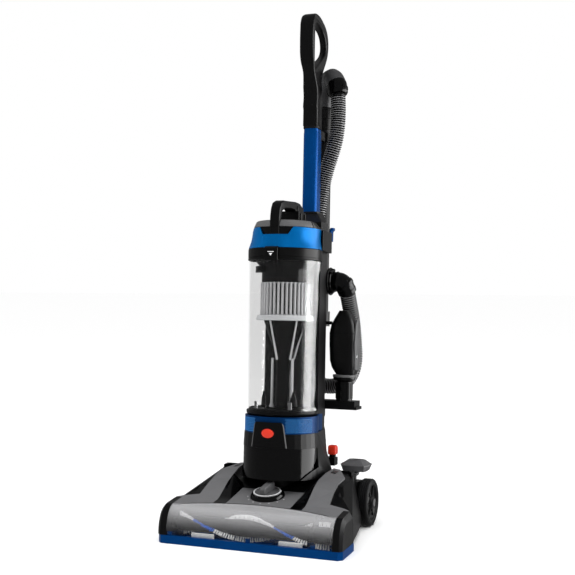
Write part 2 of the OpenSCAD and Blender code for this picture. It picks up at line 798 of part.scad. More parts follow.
module spine_screws() {
    color("silver") on_upright() for (p = spine_screws) translate([p[0], spine_rear_v, p[1]])
        rotate([-90, 0, 0]) screw(1.8, 11);
}

// ---------------------------------------------------------------- hooks, hose, wand and tool

module upper_cord_hook() {
    color("#0f5fc4") on_upright() translate([0, hook_v, hook_w]) {
        xrod(34, 46.6, 8);
        translate([46.5, -8, -9]) cube([4, 16, 30]);
        translate([50.4, -8, 15]) cube([3.6, 16, 6]);
    }
}

module lower_cord_hook() {
    color("#1a1a1b") on_upright() translate([4, spine_rear_v + 0.2, 238]) {
        cube([22, 26, 8]);
        translate([0, 20, -20]) cube([22, 6, 21]);
    }
}

module cord_inlet() {
    color("#0e0e0e") on_upright() translate([inlet_x, 0, inlet_w]) difference() {
        union() {
            vrod(178, 192, 8);
            vrod(spine_rear_v + 0.1, 188, 11);
        }
        vrod(170, 200, 4.5);
    }
}

module wand() {
    color("#47484a") on_upright() translate([0, wand_v, 0]) {
        difference() {
            translate([0, 0, wand_w0]) cylinder(h = wand_w1 - wand_w0, r = wand_r);
            translate([0, 0, wand_w0 - 1]) cylinder(h = wand_w1 - wand_w0 + 2, r = wand_r - 2);
        }
        difference() {
            translate([0, 0, cuff_w0]) cylinder(h = 50, r = wand_r + 3);
            translate([0, 0, cuff_w0 - 2]) cylinder(h = 54, r = wand_r - 0.1);
            translate([0, 0, cuff_w0 + 22]) difference() {
                cylinder(h = 3, r = wand_r + 5);
                cylinder(h = 3, r = wand_r + 1.6);
            }
        }
    }
}

// Upper clip on the grip and lower cup on the spine that hold the wand
module wand_clips() {
    color("#18181a") on_upright() {
        difference() {
            union() {
                translate([0, wand_v, clip_w0]) cylinder(h = 22, r = wand_r + 4);
                translate([-9, tube_v + 21, clip_w0]) cube([18, 45, 20]);
            }
            translate([0, wand_v, clip_w0 - 2]) cylinder(h = 30, r = wand_r + 0.15);
            translate([-10, wand_v + 8, clip_w0 - 2]) cube([20, 30, 30]);
        }
        difference() {
            union() {
                translate([0, wand_v, cup_w0]) cylinder(h = 34, r = wand_r + 4);
                translate([-4, spine_rear_v + 0.2, cup_w0]) cube([16, 42, 24]);
            }
            translate([0, wand_v, wand_w0 - 0.2]) cylinder(h = 40, r = wand_r + 0.15);
        }
    }
}

module wand_elbow() {
    steps = 3;
    color("#2c2d2e") on_upright() {
        sweep(spline(elbow_route, steps), spread(elbow_radii, steps), 20);
        translate([0, wand_v, 922]) cylinder(h = 4, r = 13);
    }
}

module stretch_hose() {
    path = spline(hose_route, 2);
    color("#3a3a3c") on_upright() sweep(path, [for (p = path) hose_r], 12);
}

module hose_port() {
    color("#1c1c1d") on_upright() translate([0, port_v, port_w]) {
        xrod(46, 62.6, 20);
        xrod(62.5, 66, 30);
        xrod(65.9, 70, 24);
    }
}

module port_elbow() {
    steps = 3;
    color("#161617") on_upright() sweep(spline(port_route, steps), spread(port_radii, steps), 20);
}

module tool_bracket() {
    color("#0f0f10") on_upright() difference() {
        union() {
            translate([40, 98, 250]) cube([86, 42, 12]);
            translate([40, 98, 244]) cube([90, 42, 6.1]);
            translate([50, 103, 424]) cube([19, 12, 7]);
        }
        translate([0, 0, 240]) linear_extrude(200)
            polygon([[-60, 40], [60.3, 40], [62.3, 92], [30.3, 184.5], [-30, 184.5]]);
    }
}

module tool_body() {
    color("#1d1d1f") on_upright() translate([0, 0, 318.2]) hull() {
        translate([80, 98, 0]) cube([42, 42, 1]);
        translate([68, 92, 30]) cube([56, 52, 1]);
        translate([66, 92, 88]) cube([58, 50, 1]);
        translate([74, 96, 116]) cube([44, 38, 1]);
        translate([84, 102, 136]) cube([22, 26, 1]);
    }
}

module tool_collar() {
    color("#101010") on_upright() translate([tool_x, tool_v, shelf_w + 0.2]) {
        cylinder(h = 46, r = 17.5);
        translate([0, 0, 44]) cylinder(h = 11.8, r1 = 23, r2 = 25);
    }
}

// ---------------------------------------------------------------- dirt tank and lid

module tank_wall() {
    h = rim_w0 - gap - wall_w0;
    color("#dfe3e6", 0.3) on_upright() translate([0, 0, wall_w0 + 0.1]) difference() {
        cylinder(h = h - 0.1, r1 = tank_r, r2 = tank_top_r, $fn = 128);
        translate([0, 0, -1]) cylinder(h = h + 2, r1 = tank_r - 2.5, r2 = tank_top_r - 2.5, $fn = 128);
    }
}

module tank_door() {
    color("#141415") on_upright() translate([0, 0, door_w0]) {
        cylinder(h = wall_w0 - door_w0 - 3, r1 = 71.5, r2 = 73.8);
        translate([0, 0, 5.9]) cylinder(h = 3.1, r = 73.8);
        translate([0, 0, 8]) cylinder(h = 5, r = 68.6);
    }
}

module tank_rim() {
    color("#1f1f20") on_upright() translate([0, 0, rim_w0]) difference() {
        cylinder(h = rim_w1 - rim_w0, r = 76.8);
        translate([0, 0, -1]) cylinder(h = 40, r = 70);
    }
}

module separator_cone() {
    color("#0d0d0e") on_upright() translate([0, separator_v, 0]) difference() {
        union() {
            translate([0, 0, hood_w0]) cylinder(h = 60, r = 50);
            intersection() {
                translate([0, 0, 530]) cylinder(h = 26, r1 = 50, r2 = 75);
                translate([0, -separator_v, 530]) cylinder(h = 22, r1 = 70.5, r2 = 70.7);
            }
        }
        translate([0, 0, hood_w0 - 8]) cylinder(h = 80, r = 46);
    }
}

module shroud_screen() {
    ribs = 48;
    h = hood_w0 - 0.2 - screen_w0;
    color("#c9cbcd") on_upright() translate([0, separator_v, 0]) difference() {
        union() {
            translate([0, 0, screen_w0 - 1]) cylinder(h = h + 1, r = 49);
            for (i = [0:ribs - 1]) rotate([0, 0, i * 360 / ribs]) translate([48.5, -1.2, screen_w0])
                cube([3.5, 2.4, h]);
            translate([0, 0, skirt_w0]) cylinder(h = screen_w0 - skirt_w0, r1 = 60, r2 = 58);
        }
        translate([0, 0, skirt_w0 - 10]) cylinder(h = 90, r = 46);
    }
}

module dust_funnel() {
    color("#1b1b1c") on_upright() translate([0, separator_v, 0]) {
        difference() {
            translate([0, 0, funnel_w1]) cylinder(h = skirt_w0 - funnel_w1 - 0.2, r1 = 16, r2 = 44);
            translate([0, 0, funnel_w1 + wall]) cylinder(h = skirt_w0 - funnel_w1, r1 = 13, r2 = 42);
        }
        translate([0, 0, funnel_w0]) cylinder(h = funnel_w1 - funnel_w0 + 0.2, r1 = 19, r2 = 16);
        for (a = [200, 250, 290, 340]) rotate([0, 0, a]) translate([24, 0, funnel_w0])
            cylinder(h = 126, r = 4);
    }
}

module foam_filter() {
    color("#3f4a55") on_upright() translate([0, 0, 568.4]) cylinder(h = 16, r = 56);
}

// Blue band of the lid with a scoop cut in its front
module lid_band() {
    color("#0f62c8") on_upright() translate([0, 0, lid_w0]) difference() {
        cylinder(h = lid_w1 - lid_w0, r1 = 76.5, r2 = 66);
        translate([0, 0, -1]) cylinder(h = 50, r1 = 72.5, r2 = 62);
        rotate([90, 0, 0]) linear_extrude(120) polygon([[-28, 27], [28, 27], [42, 60], [-42, 60]]);
    }
}

module lid_top() {
    color("#77787a") on_upright() difference() {
        union() {
            translate([0, 0, lid_w1 + 0.2]) cylinder(h = 13.8, r1 = 66, r2 = 60);
            translate([0, 0, 600]) cylinder(h = 21, r = 60);
        }
        translate([0, 0, 590]) cylinder(h = 40, r = 57);
        translate([-11, -80, 600]) cube([22, 26, 60]);
    }
}

// Loop handle fore and aft over the lid
module carry_handle() {
    color("#151516") on_upright() xbar(-10.5, 10.5) polygon([
        [-68, 621], [-66, 648], [-60, 666], [-50, 673], [-20, 676], [30, 680], [56, 679],
        [72, 670], [80, 656], [80, 648], [60, 648], [52, 640], [52, 634.3], [28, 634.3],
        [30, 650], [22, 662], [-20, 660], [-46, 656], [-52, 646], [-56.2, 630], [-56.2, 621]
    ]);
}

module tank_button() {
    color("#0d0d0e") on_upright() translate([0, 0, 547]) xbar(-14.5, 14.5)
        polygon([[-77.2, 0], [-83, 2], [-85.5, 8], [-85.5, 27], [-81, 31], [-77.2, 31]]);
}

// ---------------------------------------------------------------- selection

nozzle_base();
foot_chassis();
foot_cover();
nozzle_window();
end_cap_left();
end_cap_right();
brush_bearings();
drive_belt();
dial_bezel();
foot_axles();
pedal_spring();
foot_screws();
felt_strips();
suction_duct();
brush_core();
brush_bristles();
tyre_left();
hub_left();
tyre_right();
hub_right();
roller_left();
roller_right();
height_dial();
release_pedal();
motor_housing();
exhaust_grille();
badge_panel();
rear_spine();
spine_collar();
handle_tube();
grip_loop();
motor_can();
exhaust_filter();
wand();
wand_clips();
wand_elbow();
stretch_hose();
hose_port();
port_elbow();
tool_bracket();
lower_cord_hook();
cord_inlet();
spine_screws();
motor_shaft();
impeller();
power_pedal();
upper_cord_hook();
tank_wall();
tank_door();
tank_rim();
separator_cone();
shroud_screen();
dust_funnel();
foam_filter();
lid_band();
lid_top();
carry_handle();
tank_button();
tool_body();
tool_collar();
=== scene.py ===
"""Looks of the upright vacuum cleaner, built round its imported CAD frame. Units are metres."""
import json
import math
import random

import bmesh
import bpy
from mathutils import Matrix, Vector


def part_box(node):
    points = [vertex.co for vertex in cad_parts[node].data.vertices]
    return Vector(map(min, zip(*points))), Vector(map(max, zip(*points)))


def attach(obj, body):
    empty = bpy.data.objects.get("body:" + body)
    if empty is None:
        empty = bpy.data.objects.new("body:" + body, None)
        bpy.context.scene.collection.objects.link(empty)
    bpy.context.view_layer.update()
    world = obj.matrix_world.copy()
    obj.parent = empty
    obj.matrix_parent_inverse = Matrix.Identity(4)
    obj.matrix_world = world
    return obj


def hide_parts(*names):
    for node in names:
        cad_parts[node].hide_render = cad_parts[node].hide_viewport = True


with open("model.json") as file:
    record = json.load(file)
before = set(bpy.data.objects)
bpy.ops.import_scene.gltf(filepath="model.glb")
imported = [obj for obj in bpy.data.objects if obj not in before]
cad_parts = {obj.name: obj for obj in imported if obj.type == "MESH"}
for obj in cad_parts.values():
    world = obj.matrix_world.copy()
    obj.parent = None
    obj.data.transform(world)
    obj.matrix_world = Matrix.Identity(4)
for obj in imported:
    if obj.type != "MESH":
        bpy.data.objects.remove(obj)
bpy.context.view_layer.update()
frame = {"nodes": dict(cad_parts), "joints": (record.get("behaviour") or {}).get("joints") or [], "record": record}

MM = 0.001
WELD = 1e-6
TAU = 2 * math.pi

# The leaning upright has its own axes: x across, v to the rear, w up along the tank.
JOINTS = {joint["name"]: joint for joint in frame["joints"]}
PIVOT = Vector(JOINTS["recline"]["pos_m"])
UP_W = Vector(JOINTS["lid_lift"]["axis"])
UP_X = Vector((1, 0, 0))
UP_V = UP_W.cross(UP_X)
UPRIGHT = Matrix.Translation(PIVOT - UP_W * PIVOT.z) @ Matrix((UP_X, UP_V, UP_W)).transposed().to_4x4()

# The same two frames for points given in millimetres; the foot's starts at the nozzle's front edge
UP = UPRIGHT @ Matrix.Scale(MM, 4)
FOOT = Matrix.Translation((0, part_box("nozzle_base")[0][1], 0)) @ Matrix.Scale(MM, 4)


# The sides that wheels and rollers are named by, and which way each one lies
SIDES = {"right": 1, "left": -1}


def local_box(node, at=UP):
    """A CAD node's lowest and highest corners in another frame."""
    inverse = at.inverted()
    points = [inverse @ vertex.co for vertex in frame["nodes"][node].data.vertices]
    low = Vector([min(p[i] for p in points) for i in range(3)])
    high = Vector([max(p[i] for p in points) for i in range(3)])
    return low, high


def placed(name, data):
    """A new object in the scene."""
    obj = bpy.data.objects.new(name, data)
    bpy.context.scene.collection.objects.link(obj)
    return obj


# ------------------------------------------------------------------ camera, floor and light

CAMERA_AT = Vector((0.7208, -1.9919, 0.5055))
CAMERA_AZIMUTH = math.radians(20.1)
CAMERA_PITCH = math.radians(-0.2)
CAMERA_ROLL = math.radians(0.3)
CAMERA_LENS = 62.85
WORLD_LIGHT = 0.2
SUN_POWER = 2.85
SUN_SPREAD = math.radians(70)
FLOOR_REACH = 60


def make_camera():
    """The place and lens that the photo was taken with, as far as the fit tells."""
    data = bpy.data.cameras.new("camera")
    data.lens = CAMERA_LENS
    data.sensor_width = 36
    data.clip_end = 50
    camera = placed("camera", data)
    turn = Matrix.Rotation(CAMERA_AZIMUTH, 4, "Z") @ Matrix.Rotation(math.pi / 2 + CAMERA_PITCH, 4, "X")
    camera.matrix_world = Matrix.Translation(CAMERA_AT) @ turn @ Matrix.Rotation(CAMERA_ROLL, 4, "Z")
    bpy.context.scene.camera = camera


def area_light(name, at, aim, size, power, reflection_only=False, in_reflections=True):
    """Softbox at a place, turned towards aim; it can light without showing in gloss, or the reverse."""
    data = bpy.data.lights.new(name, "AREA")
    data.shape = "RECTANGLE"
    data.size, data.size_y = size
    data.energy = power
    light = placed(name, data)
    light.location = at
    light.rotation_euler = (Vector(aim) - Vector(at)).to_track_quat("-Z", "Y").to_euler()
    light.visible_diffuse = not reflection_only
    light.visible_transmission = not reflection_only
    light.visible_glossy = in_reflections


def make_studio():
    """White backdrop that lights the object less than it shows, softboxes, a soft sun and a pale floor."""
    scene = bpy.context.scene
    scene.view_settings.view_transform = "Standard"
    world = bpy.data.worlds.new("studio")
    world.use_nodes = True
    tree = world.node_tree
    back = tree.nodes["Background"]
    back.inputs["Color"].default_value = (1, 1, 1, 1)
    seen = tree.nodes.new("ShaderNodeLightPath")
    level = tree.nodes.new("ShaderNodeMapRange")
    level.inputs["To Min"].default_value = WORLD_LIGHT
    level.inputs["To Max"].default_value = 1.0
    tree.links.new(seen.outputs["Is Camera Ray"], level.inputs["Value"])
    tree.links.new(level.outputs["Result"], back.inputs["Strength"])
    scene.world = world
    area_light("right_box", (2.1, -0.35, 0.9), (0, 0, 0.55), (0.5, 1.9), 26, in_reflections=False)
    area_light("left_box", (-2.0, -0.6, 0.9), (0, 0, 0.55), (0.4, 1.9), 20, in_reflections=False)
    area_light("right_panel", (2.2, 0.8, 0.7), (0, 0, 0.55), (2.6, 2.4), 85, reflection_only=True)
    area_light("front_fill", (1.2, -2.6, 2.6), (0, 0, 0.4), (1.2, 0.8), 16, in_reflections=False)
    area_light("tank_panel", (2.1, 0.8, 0.6), (0, 0, 0.5), (1.5, 2.2), 330, reflection_only=True)
    area_light("tank_rear_panel", (1.0, 2.0, 0.6), (0, 0, 0.5), (1.6, 2.2), 150, reflection_only=True)
    sky = bpy.data.lights.new("soft_sun", "SUN")
    sky.energy = SUN_POWER
    sky.angle = SUN_SPREAD
    placed("soft_sun", sky).visible_glossy = False
    mesh = bpy.data.meshes.new("floor")
    corners = [(x * FLOOR_REACH, y * FLOOR_REACH, 0) for x, y in ((-1, -1), (1, -1), (1, 1), (-1, 1))]
    mesh.from_pydata(corners, [], [(0, 1, 2, 3)])
    floor = placed("floor", mesh)
    floor.visible_glossy = False
    floor.data.materials.append(paint("floor_white", (0.97, 0.97, 0.97), 0.8, grain=0.0))


# ------------------------------------------------------------------ materials

GLOSS_SPREAD = 0.06


def fresh(name):
    """An empty node material with its Principled shader and object coordinates."""
    mat = bpy.data.materials.new(name)
    mat.use_nodes = True
    tree = mat.node_tree
    shader = tree.nodes["Principled BSDF"]
    coords = tree.nodes.new("ShaderNodeTexCoord")
    return mat, tree, shader, coords.outputs["Object"]


def noise(tree, place, scale, detail):
    """Noise over the object's own coordinates."""
    node = tree.nodes.new("ShaderNodeTexNoise")
    node.inputs["Scale"].default_value = scale
    node.inputs["Detail"].default_value = detail
    tree.links.new(place, node.inputs["Vector"])
    return node.outputs["Fac"]


def vary(tree, shader, pattern, color, grain, gloss, stops=(0.0, 1.0)):
    """Lets a pattern shift the colour by a share of itself, and the roughness between two values."""
    ramp = tree.nodes.new("ShaderNodeValToRGB")
    for element, position, share in zip(ramp.color_ramp.elements, stops, (1 - grain, 1 + grain)):
        element.position = position
        element.color = [min(1.0, c * share) for c in color] + [1]
    tree.links.new(pattern, ramp.inputs["Fac"])
    tree.links.new(ramp.outputs["Color"], shader.inputs["Base Color"])
    spread = tree.nodes.new("ShaderNodeMapRange")
    spread.inputs["To Min"].default_value, spread.inputs["To Max"].default_value = gloss
    tree.links.new(pattern, spread.inputs["Value"])
    tree.links.new(spread.outputs["Result"], shader.inputs["Roughness"])


def paint(name, color, roughness, metallic=0.0, grain=0.08, scale=35.0, bump=0.06, bump_scale=900.0,
          specular=0.5):
    """Moulded plastic, metal or rubber: slow colour drift, patchy gloss and fine surface grain."""
    mat, tree, shader, place = fresh(name)
    gloss = max(0.02, roughness - GLOSS_SPREAD), min(1.0, roughness + GLOSS_SPREAD)
    vary(tree, shader, noise(tree, place, scale, 4), color, grain, gloss, (0.3, 0.7))
    if bump:
        relief = tree.nodes.new("ShaderNodeBump")
        relief.inputs["Strength"].default_value = bump
        relief.inputs["Distance"].default_value = 0.0004
        tree.links.new(noise(tree, place, bump_scale, 3), relief.inputs["Height"])
        tree.links.new(relief.outputs["Normal"], shader.inputs["Normal"])
    shader.inputs["Metallic"].default_value = metallic
    shader.inputs["Specular IOR Level"].default_value = specular
    return mat


def clear(name, tint, roughness, alpha, coat):
    """Clear moulded plastic: mostly see-through, with faint haze in its gloss."""
    mat, tree, shader, place = fresh(name)
    vary(tree, shader, noise(tree, place, 60, 5), tint, 0.03, (roughness * 0.85, roughness * 1.15))
    shader.inputs["Alpha"].default_value = alpha
    shader.inputs["IOR"].default_value = 1.5
    shader.inputs["Coat Weight"].default_value = coat
    shader.inputs["Coat Roughness"].default_value = 0.03
    return mat


def grade_by_height(mat, foot_z, crown_z, tints, alphas):
    """Smoke that thickens upwards, and painted light: tint and opacity change with height between two levels, the
    tint from painted shade at the foot to a painted reflection at the top.
    """
    tree = mat.node_tree
    shader = tree.nodes["Principled BSDF"]
    coords = tree.nodes.new("ShaderNodeTexCoord")
    split = tree.nodes.new("ShaderNodeSeparateXYZ")
    tree.links.new(coords.outputs["Object"], split.inputs["Vector"])
    share = tree.nodes.new("ShaderNodeMapRange")
    share.inputs["From Min"].default_value = foot_z
    share.inputs["From Max"].default_value = crown_z
    tree.links.new(split.outputs["Z"], share.inputs["Value"])
    for name, stops in (("Base Color", tints), ("Alpha", alphas)):
        ramp = tree.nodes.new("ShaderNodeValToRGB")
        while len(ramp.color_ramp.elements) < len(stops):
            ramp.color_ramp.elements.new(0.5)
        for element, (position, level) in zip(ramp.color_ramp.elements, stops):
            element.position = position
            element.color = (level, level, level * 1.02, 1)
        tree.links.new(share.outputs["Result"], ramp.inputs["Fac"])
        tree.links.new(ramp.outputs["Color"], shader.inputs[name])


# Each plastic, metal or cloth: its colour, its roughness and what else isn't as usual
PAINTS = {
    "blue_gloss": ((0.0, 0.055, 0.23), 0.3, dict(metallic=0.45, grain=0.05, bump=0.02, specular=0.12)),
    # A lighter copy of blue_gloss for the lid band alone: painted light, so the band shows brighter than the tube
    # of the same blue
    "blue_gloss_lit_copy": ((0.0, 0.13, 0.4), 0.3, dict(metallic=0.4, grain=0.05, bump=0.02, specular=0.12)),
    "blue_band": ((0.0, 0.03, 0.12), 0.34, dict(metallic=0.3, grain=0.05, specular=0.1)),
    "black_satin": ((0.002, 0.002, 0.0022), 0.32, dict(grain=0.15, bump=0.08, specular=0.28)),
    "black_gloss": ((0.001, 0.001, 0.0012), 0.13, dict(grain=0.1, bump=0.02, specular=0.32)),
    "black_matte": ((0.006, 0.006, 0.0065), 0.52, dict(grain=0.15, bump=0.12, specular=0.2)),
    "charcoal": ((0.007, 0.007, 0.0075), 0.42, dict(grain=0.1, bump=0.1, specular=0.28)),
    "grey_cover": ((0.12, 0.12, 0.124), 0.5, dict(grain=0.05, bump=0.16, specular=0.4)),
    "grey_light": ((0.085, 0.085, 0.088), 0.46, dict(grain=0.05, bump=0.12, specular=0.4)),
    "steel": ((0.55, 0.55, 0.56), 0.28, dict(metallic=1.0, bump=0.05)),
    "motor_alloy": ((0.5, 0.5, 0.5), 0.4, dict(metallic=1.0, bump=0.08)),
    "bristle_white": ((0.95, 0.95, 0.95), 0.6, dict(grain=0.06)),
    "felt": ((0.82, 0.82, 0.8), 0.9, dict(grain=0.08, scale=400, bump=0.5, bump_scale=2500)),
    "filter_pleat": ((0.8, 0.79, 0.76), 0.9, dict(grain=0.06, bump=0.3)),
    "foam": ((0.05, 0.07, 0.1), 0.95, dict(grain=0.3, scale=500, bump=0.8, bump_scale=1200)),
    "belt_rubber": ((0.012, 0.012, 0.012), 0.7, dict(grain=0.2, bump=0.2)),
    "tyre_rubber": ((0.006, 0.006, 0.0065), 0.5, dict(grain=0.2, bump=0.25, specular=0.15)),
    "hose_plastic": ((0.005, 0.005, 0.0055), 0.2, dict(grain=0.12, bump=0.0, specular=0.8)),
    # Lighter grey for the hose's rib crests: a painted highlight, not a colour of the hose
    "painted_hose_highlight": ((0.22, 0.22, 0.225), 0.25, dict(grain=0.1, bump=0.0, specular=0.9)),
    "red": ((0.78, 0.035, 0.012), 0.4, dict(grain=0.04)),
    "blue_bristle": ((0.0, 0.16, 0.75), 0.6, dict(grain=0.1)),
    "grip_grey": ((0.04, 0.04, 0.042), 0.4, dict(grain=0.1, bump=0.08, specular=0.35)),
    "lid_grey": ((0.1, 0.1, 0.102), 0.42, dict(grain=0.06, bump=0.1, specular=0.4)),
    "tool_grey": ((0.1, 0.1, 0.102), 0.4, dict(grain=0.06, bump=0.08, specular=0.35)),
    "cell_blue": ((0.03, 0.19, 0.5), 0.3, dict(grain=0.05, bump=0.0, specular=0.4)),
    "skirt_white": ((0.62, 0.63, 0.64), 0.35, dict(grain=0.04, bump=0.03)),
    "screen_grey": ((0.55, 0.55, 0.56), 0.45, dict(grain=0.05)),
}
MATERIALS = {name: paint(name, color, roughness, **rest) for name, (color, roughness, rest) in PAINTS.items()}
MATERIALS["clear_smoke"] = clear("clear_smoke", (0.24, 0.25, 0.255), roughness=0.2, alpha=0.42, coat=0.35)
MATERIALS["clear_tank"] = clear("clear_tank", (0.03, 0.03, 0.03), roughness=0.1, alpha=0.1, coat=1.0)

# Share of the window's height, and the tint or opacity there; the tints are painted shade at the foot and a
# painted reflection at the top
SMOKE_PAINTED_LIGHT_TINTS = [(0.0, 0.01), (0.35, 0.25), (0.75, 0.9), (1.0, 1.0)]
SMOKE_ALPHAS = [(0.0, 0.08), (0.35, 0.16), (0.8, 0.21), (1.0, 0.22)]
grade_by_height(MATERIALS["clear_smoke"], foot_z=0.018, crown_z=0.074, tints=SMOKE_PAINTED_LIGHT_TINTS, alphas=SMOKE_ALPHAS)


# ------------------------------------------------------------------ mesh helpers

def bevel(obj, width, segments=3, angle=30):
    """Rounds the sharp edges of a piece or of a CAD node."""
    mod = obj.modifiers.new("round_edges", "BEVEL")
    mod.width = width
    mod.segments = segments
    mod.limit_method = "ANGLE"
    mod.angle_limit = math.radians(angle)
    mod.harden_normals = True


def piece(name, part, body, slot, at=UP, material=None, angle=35, edge=None):
    """A new visible piece on a CAD body, from vertices and faces in the frame called at."""
    verts, faces = part
    mesh = bpy.data.meshes.new(name)
    mesh.from_pydata([at @ Vector(p) for p in verts], [], faces)
    mesh.validate()
    work = bmesh.new()
    work.from_mesh(mesh)
    bmesh.ops.remove_doubles(work, verts=work.verts, dist=WELD)
    bmesh.ops.recalc_face_normals(work, faces=work.faces)
    work.to_mesh(mesh)
    work.free()
    obj = placed(name, mesh)
    obj.data.materials.append(MATERIALS[material or slot])
    mesh.shade_smooth()
    mesh.set_sharp_from_angle(angle=math.radians(angle))
    if edge:
        bevel(obj, *edge)
    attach(obj, body)
    return obj


def skin(node, part, body, slot, **how):
    """A piece that takes a CAD node's place."""
    obj = piece(f"{node}_skin", part, body, slot, **how)
    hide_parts(node)
    return obj


def join(*parts):
    """Several meshes as one list of vertices and faces."""
    verts, faces = [], []
    for some_verts, some_faces in parts:
        start = len(verts)
        verts += [Vector(p) for p in some_verts]
        faces += [tuple(start + i for i in face) for face in some_faces]
    return verts, faces


def moved(part, matrix):
    return [matrix @ Vector(p) for p in part[0]], part[1]


def shift(x, y, z):
    return Matrix.Translation((x, y, z))


def turn(degrees, axis):
    return Matrix.Rotation(math.radians(degrees), 4, axis)


def mirrored(part):
    return [Vector((-p[0], p[1], p[2])) for p in part[0]], part[1]


def hull(points):
    """Convex skin round points."""
    work = bmesh.new()
    for p in points:
        work.verts.new(p)
    done = bmesh.ops.convex_hull(work, input=work.verts)
    loose = {e for e in done["geom_interior"] + done["geom_unused"] if isinstance(e, bmesh.types.BMVert)}
    bmesh.ops.delete(work, geom=list(loose), context="VERTS")
    bmesh.ops.dissolve_limit(work, angle_limit=math.radians(1), verts=work.verts, edges=work.edges)
    work.verts.index_update()
    part = [v.co.copy() for v in work.verts], [tuple(v.index for v in face.verts) for face in work.faces]
    work.free()
    return part


def shell(rings, caps=True):
    """Skin over rings that have the same number of points."""
    count = len(rings[0])
    verts = [Vector(p) for row in rings for p in row]
    faces = []
    for i in range(len(rings) - 1):
        for k in range(count):
            a, b = i * count + k, i * count + (k + 1) % count
            faces.append((a, b, b + count, a + count))
    if caps:
        faces.append(tuple(range(count)))
        faces.append(tuple((len(rings) - 1) * count + k for k in reversed(range(count))))
    return verts, faces


def hoop(rings):
    """Skin over rings whose last one joins the first."""
    return shell(rings + rings[:1], caps=False)


def spot(radius, angle, height):
    """Point round the z axis; an angle of 0 is the front, at -y."""
    return radius * math.sin(angle), -radius * math.cos(angle), height


def ring(radius, height, sides):
    """Points in a circle."""
    step = TAU / sides
    return [spot(radius, step * k, height) for k in range(sides)]


def lathe(profile, sides=96):
    """Turns a closed outline of (radius, height) points round the z axis."""
    return hoop([ring(r, h, sides) for r, h in profile])


def disc_lathe(profile, sides=96):
    """Turns an open outline whose first and last points are closed with flat discs."""
    return shell([ring(r, h, sides) for r, h in profile])


def arc_block(inner, outer, low, high, middle, width, sides=12):
    """Block that follows the tank's curve; middle and width are angles from the front, in degrees."""
    start, step = math.radians(middle - width / 2), math.radians(width) / (sides - 1)
    corners = ((inner, low), (outer, low), (outer, high), (inner, high))
    return shell([[spot(r, start + step * k, h) for r, h in corners] for k in range(sides)])


def bowed_sheet(rows, inner, outer, columns):
    """Sheet round the tank's axis, from (height, half angle outside, half angle inside) rows."""
    shares = [2 * k / columns - 1 for k in range(columns + 1)]
    rings = []
    for w, far, near in rows:
        back = [spot(inner, near * s, w) for s in reversed(shares)]
        rings.append([spot(outer, far * s, w) for s in shares] + back)
    return shell(rings)


def block(low, high):
    """Six-sided block between two corners, to be bevelled."""
    (x0, y0, z0), (x1, y1, z1) = low, high
    verts = [(x, y, z) for x in (x0, x1) for y in (y0, y1) for z in (z0, z1)]
    faces = [(0, 1, 3, 2), (4, 6, 7, 5), (0, 4, 5, 1), (2, 3, 7, 6), (0, 2, 6, 4), (1, 5, 7, 3)]
    return verts, faces


def plate(outline, half, edge, holes=(), resolution=2):
    """Flat plate with rounded edges: an outline in (a, b), thick along the third axis, centred on it."""
    curve = bpy.data.curves.new("plate", "CURVE")
    curve.dimensions = "2D"
    curve.fill_mode = "BOTH"
    curve.extrude = half - edge
    curve.bevel_depth = edge
    curve.bevel_resolution = resolution
    curve.offset = -edge
    for points in (outline, *holes):
        line = curve.splines.new("POLY")
        line.points.add(len(points) - 1)
        for corner, point in zip(line.points, points):
            corner.co = (point[0], point[1], 0, 1)
        line.use_cyclic_u = True
    obj = placed("plate", curve)
    mesh = bpy.data.meshes.new_from_object(obj.evaluated_get(bpy.context.evaluated_depsgraph_get()))
    verts = [v.co.copy() for v in mesh.vertices]
    faces = [tuple(face.vertices) for face in mesh.polygons]
    bpy.data.objects.remove(obj)
    bpy.data.curves.remove(curve)
    bpy.data.meshes.remove(mesh)
    return verts, faces


# Stands a plate's (a, b, thickness) up as (v, w, x) or (x, w, -v)
SIDEWAYS = Matrix(((0, 0, 1, 0), (1, 0, 0, 0), (0, 1, 0, 0), (0, 0, 0, 1)))
FACING = Matrix(((1, 0, 0, 0), (0, 0, -1, 0), (0, 1, 0, 0), (0, 0, 0, 1)))


def catmull_rom(a, b, c, d, steps):
    """Points of the curve from b up to c, without c itself."""
    out = []
    for s in range(steps):
        t = s / steps
        out.append(0.5 * (2 * b + (c - a) * t + (2 * a - 5 * b + 4 * c - d) * t * t
                          + (3 * b - a - 3 * c + d) * t ** 3))
    return out


def smooth_loop(points, steps):
    """Closed smooth curve through 2-D points."""
    corners = [Vector(p) for p in points]
    out = []
    for i in range(len(corners)):
        out += catmull_rom(*(corners[(i + k) % len(corners)] for k in (-1, 0, 1, 2)), steps)
    return out


def spline(points, steps):
    """Open smooth curve through points."""
    last = len(points) - 1
    out = []
    for i in range(last):
        out += catmull_rom(points[max(i - 1, 0)], points[i], points[i + 1], points[min(i + 2, last)], steps)
    return out + [points[last].copy()]


def round_rect(width, depth, radius, per_corner=6):
    """Points of a rectangle with round corners, centred on the origin."""
    out = []
    for sx, sy, start in ((1, 1, 0), (-1, 1, 90), (-1, -1, 180), (1, -1, 270)):
        for k in range(per_corner + 1):
            a = math.radians(start + 90 * k / per_corner)
            out.append(((width / 2 - radius) * sx + radius * math.cos(a),
                        (depth / 2 - radius) * sy + radius * math.sin(a)))
    return out


def between(table, at):
    """Value from a table of (position, value) rows, with straight lines between them."""
    if at <= table[0][0]:
        return table[0][1]
    for (p0, v0), (p1, v1) in zip(table, table[1:]):
        if at <= p1:
            return v0 + (v1 - v0) * (at - p0) / (p1 - p0)
    return table[-1][1]


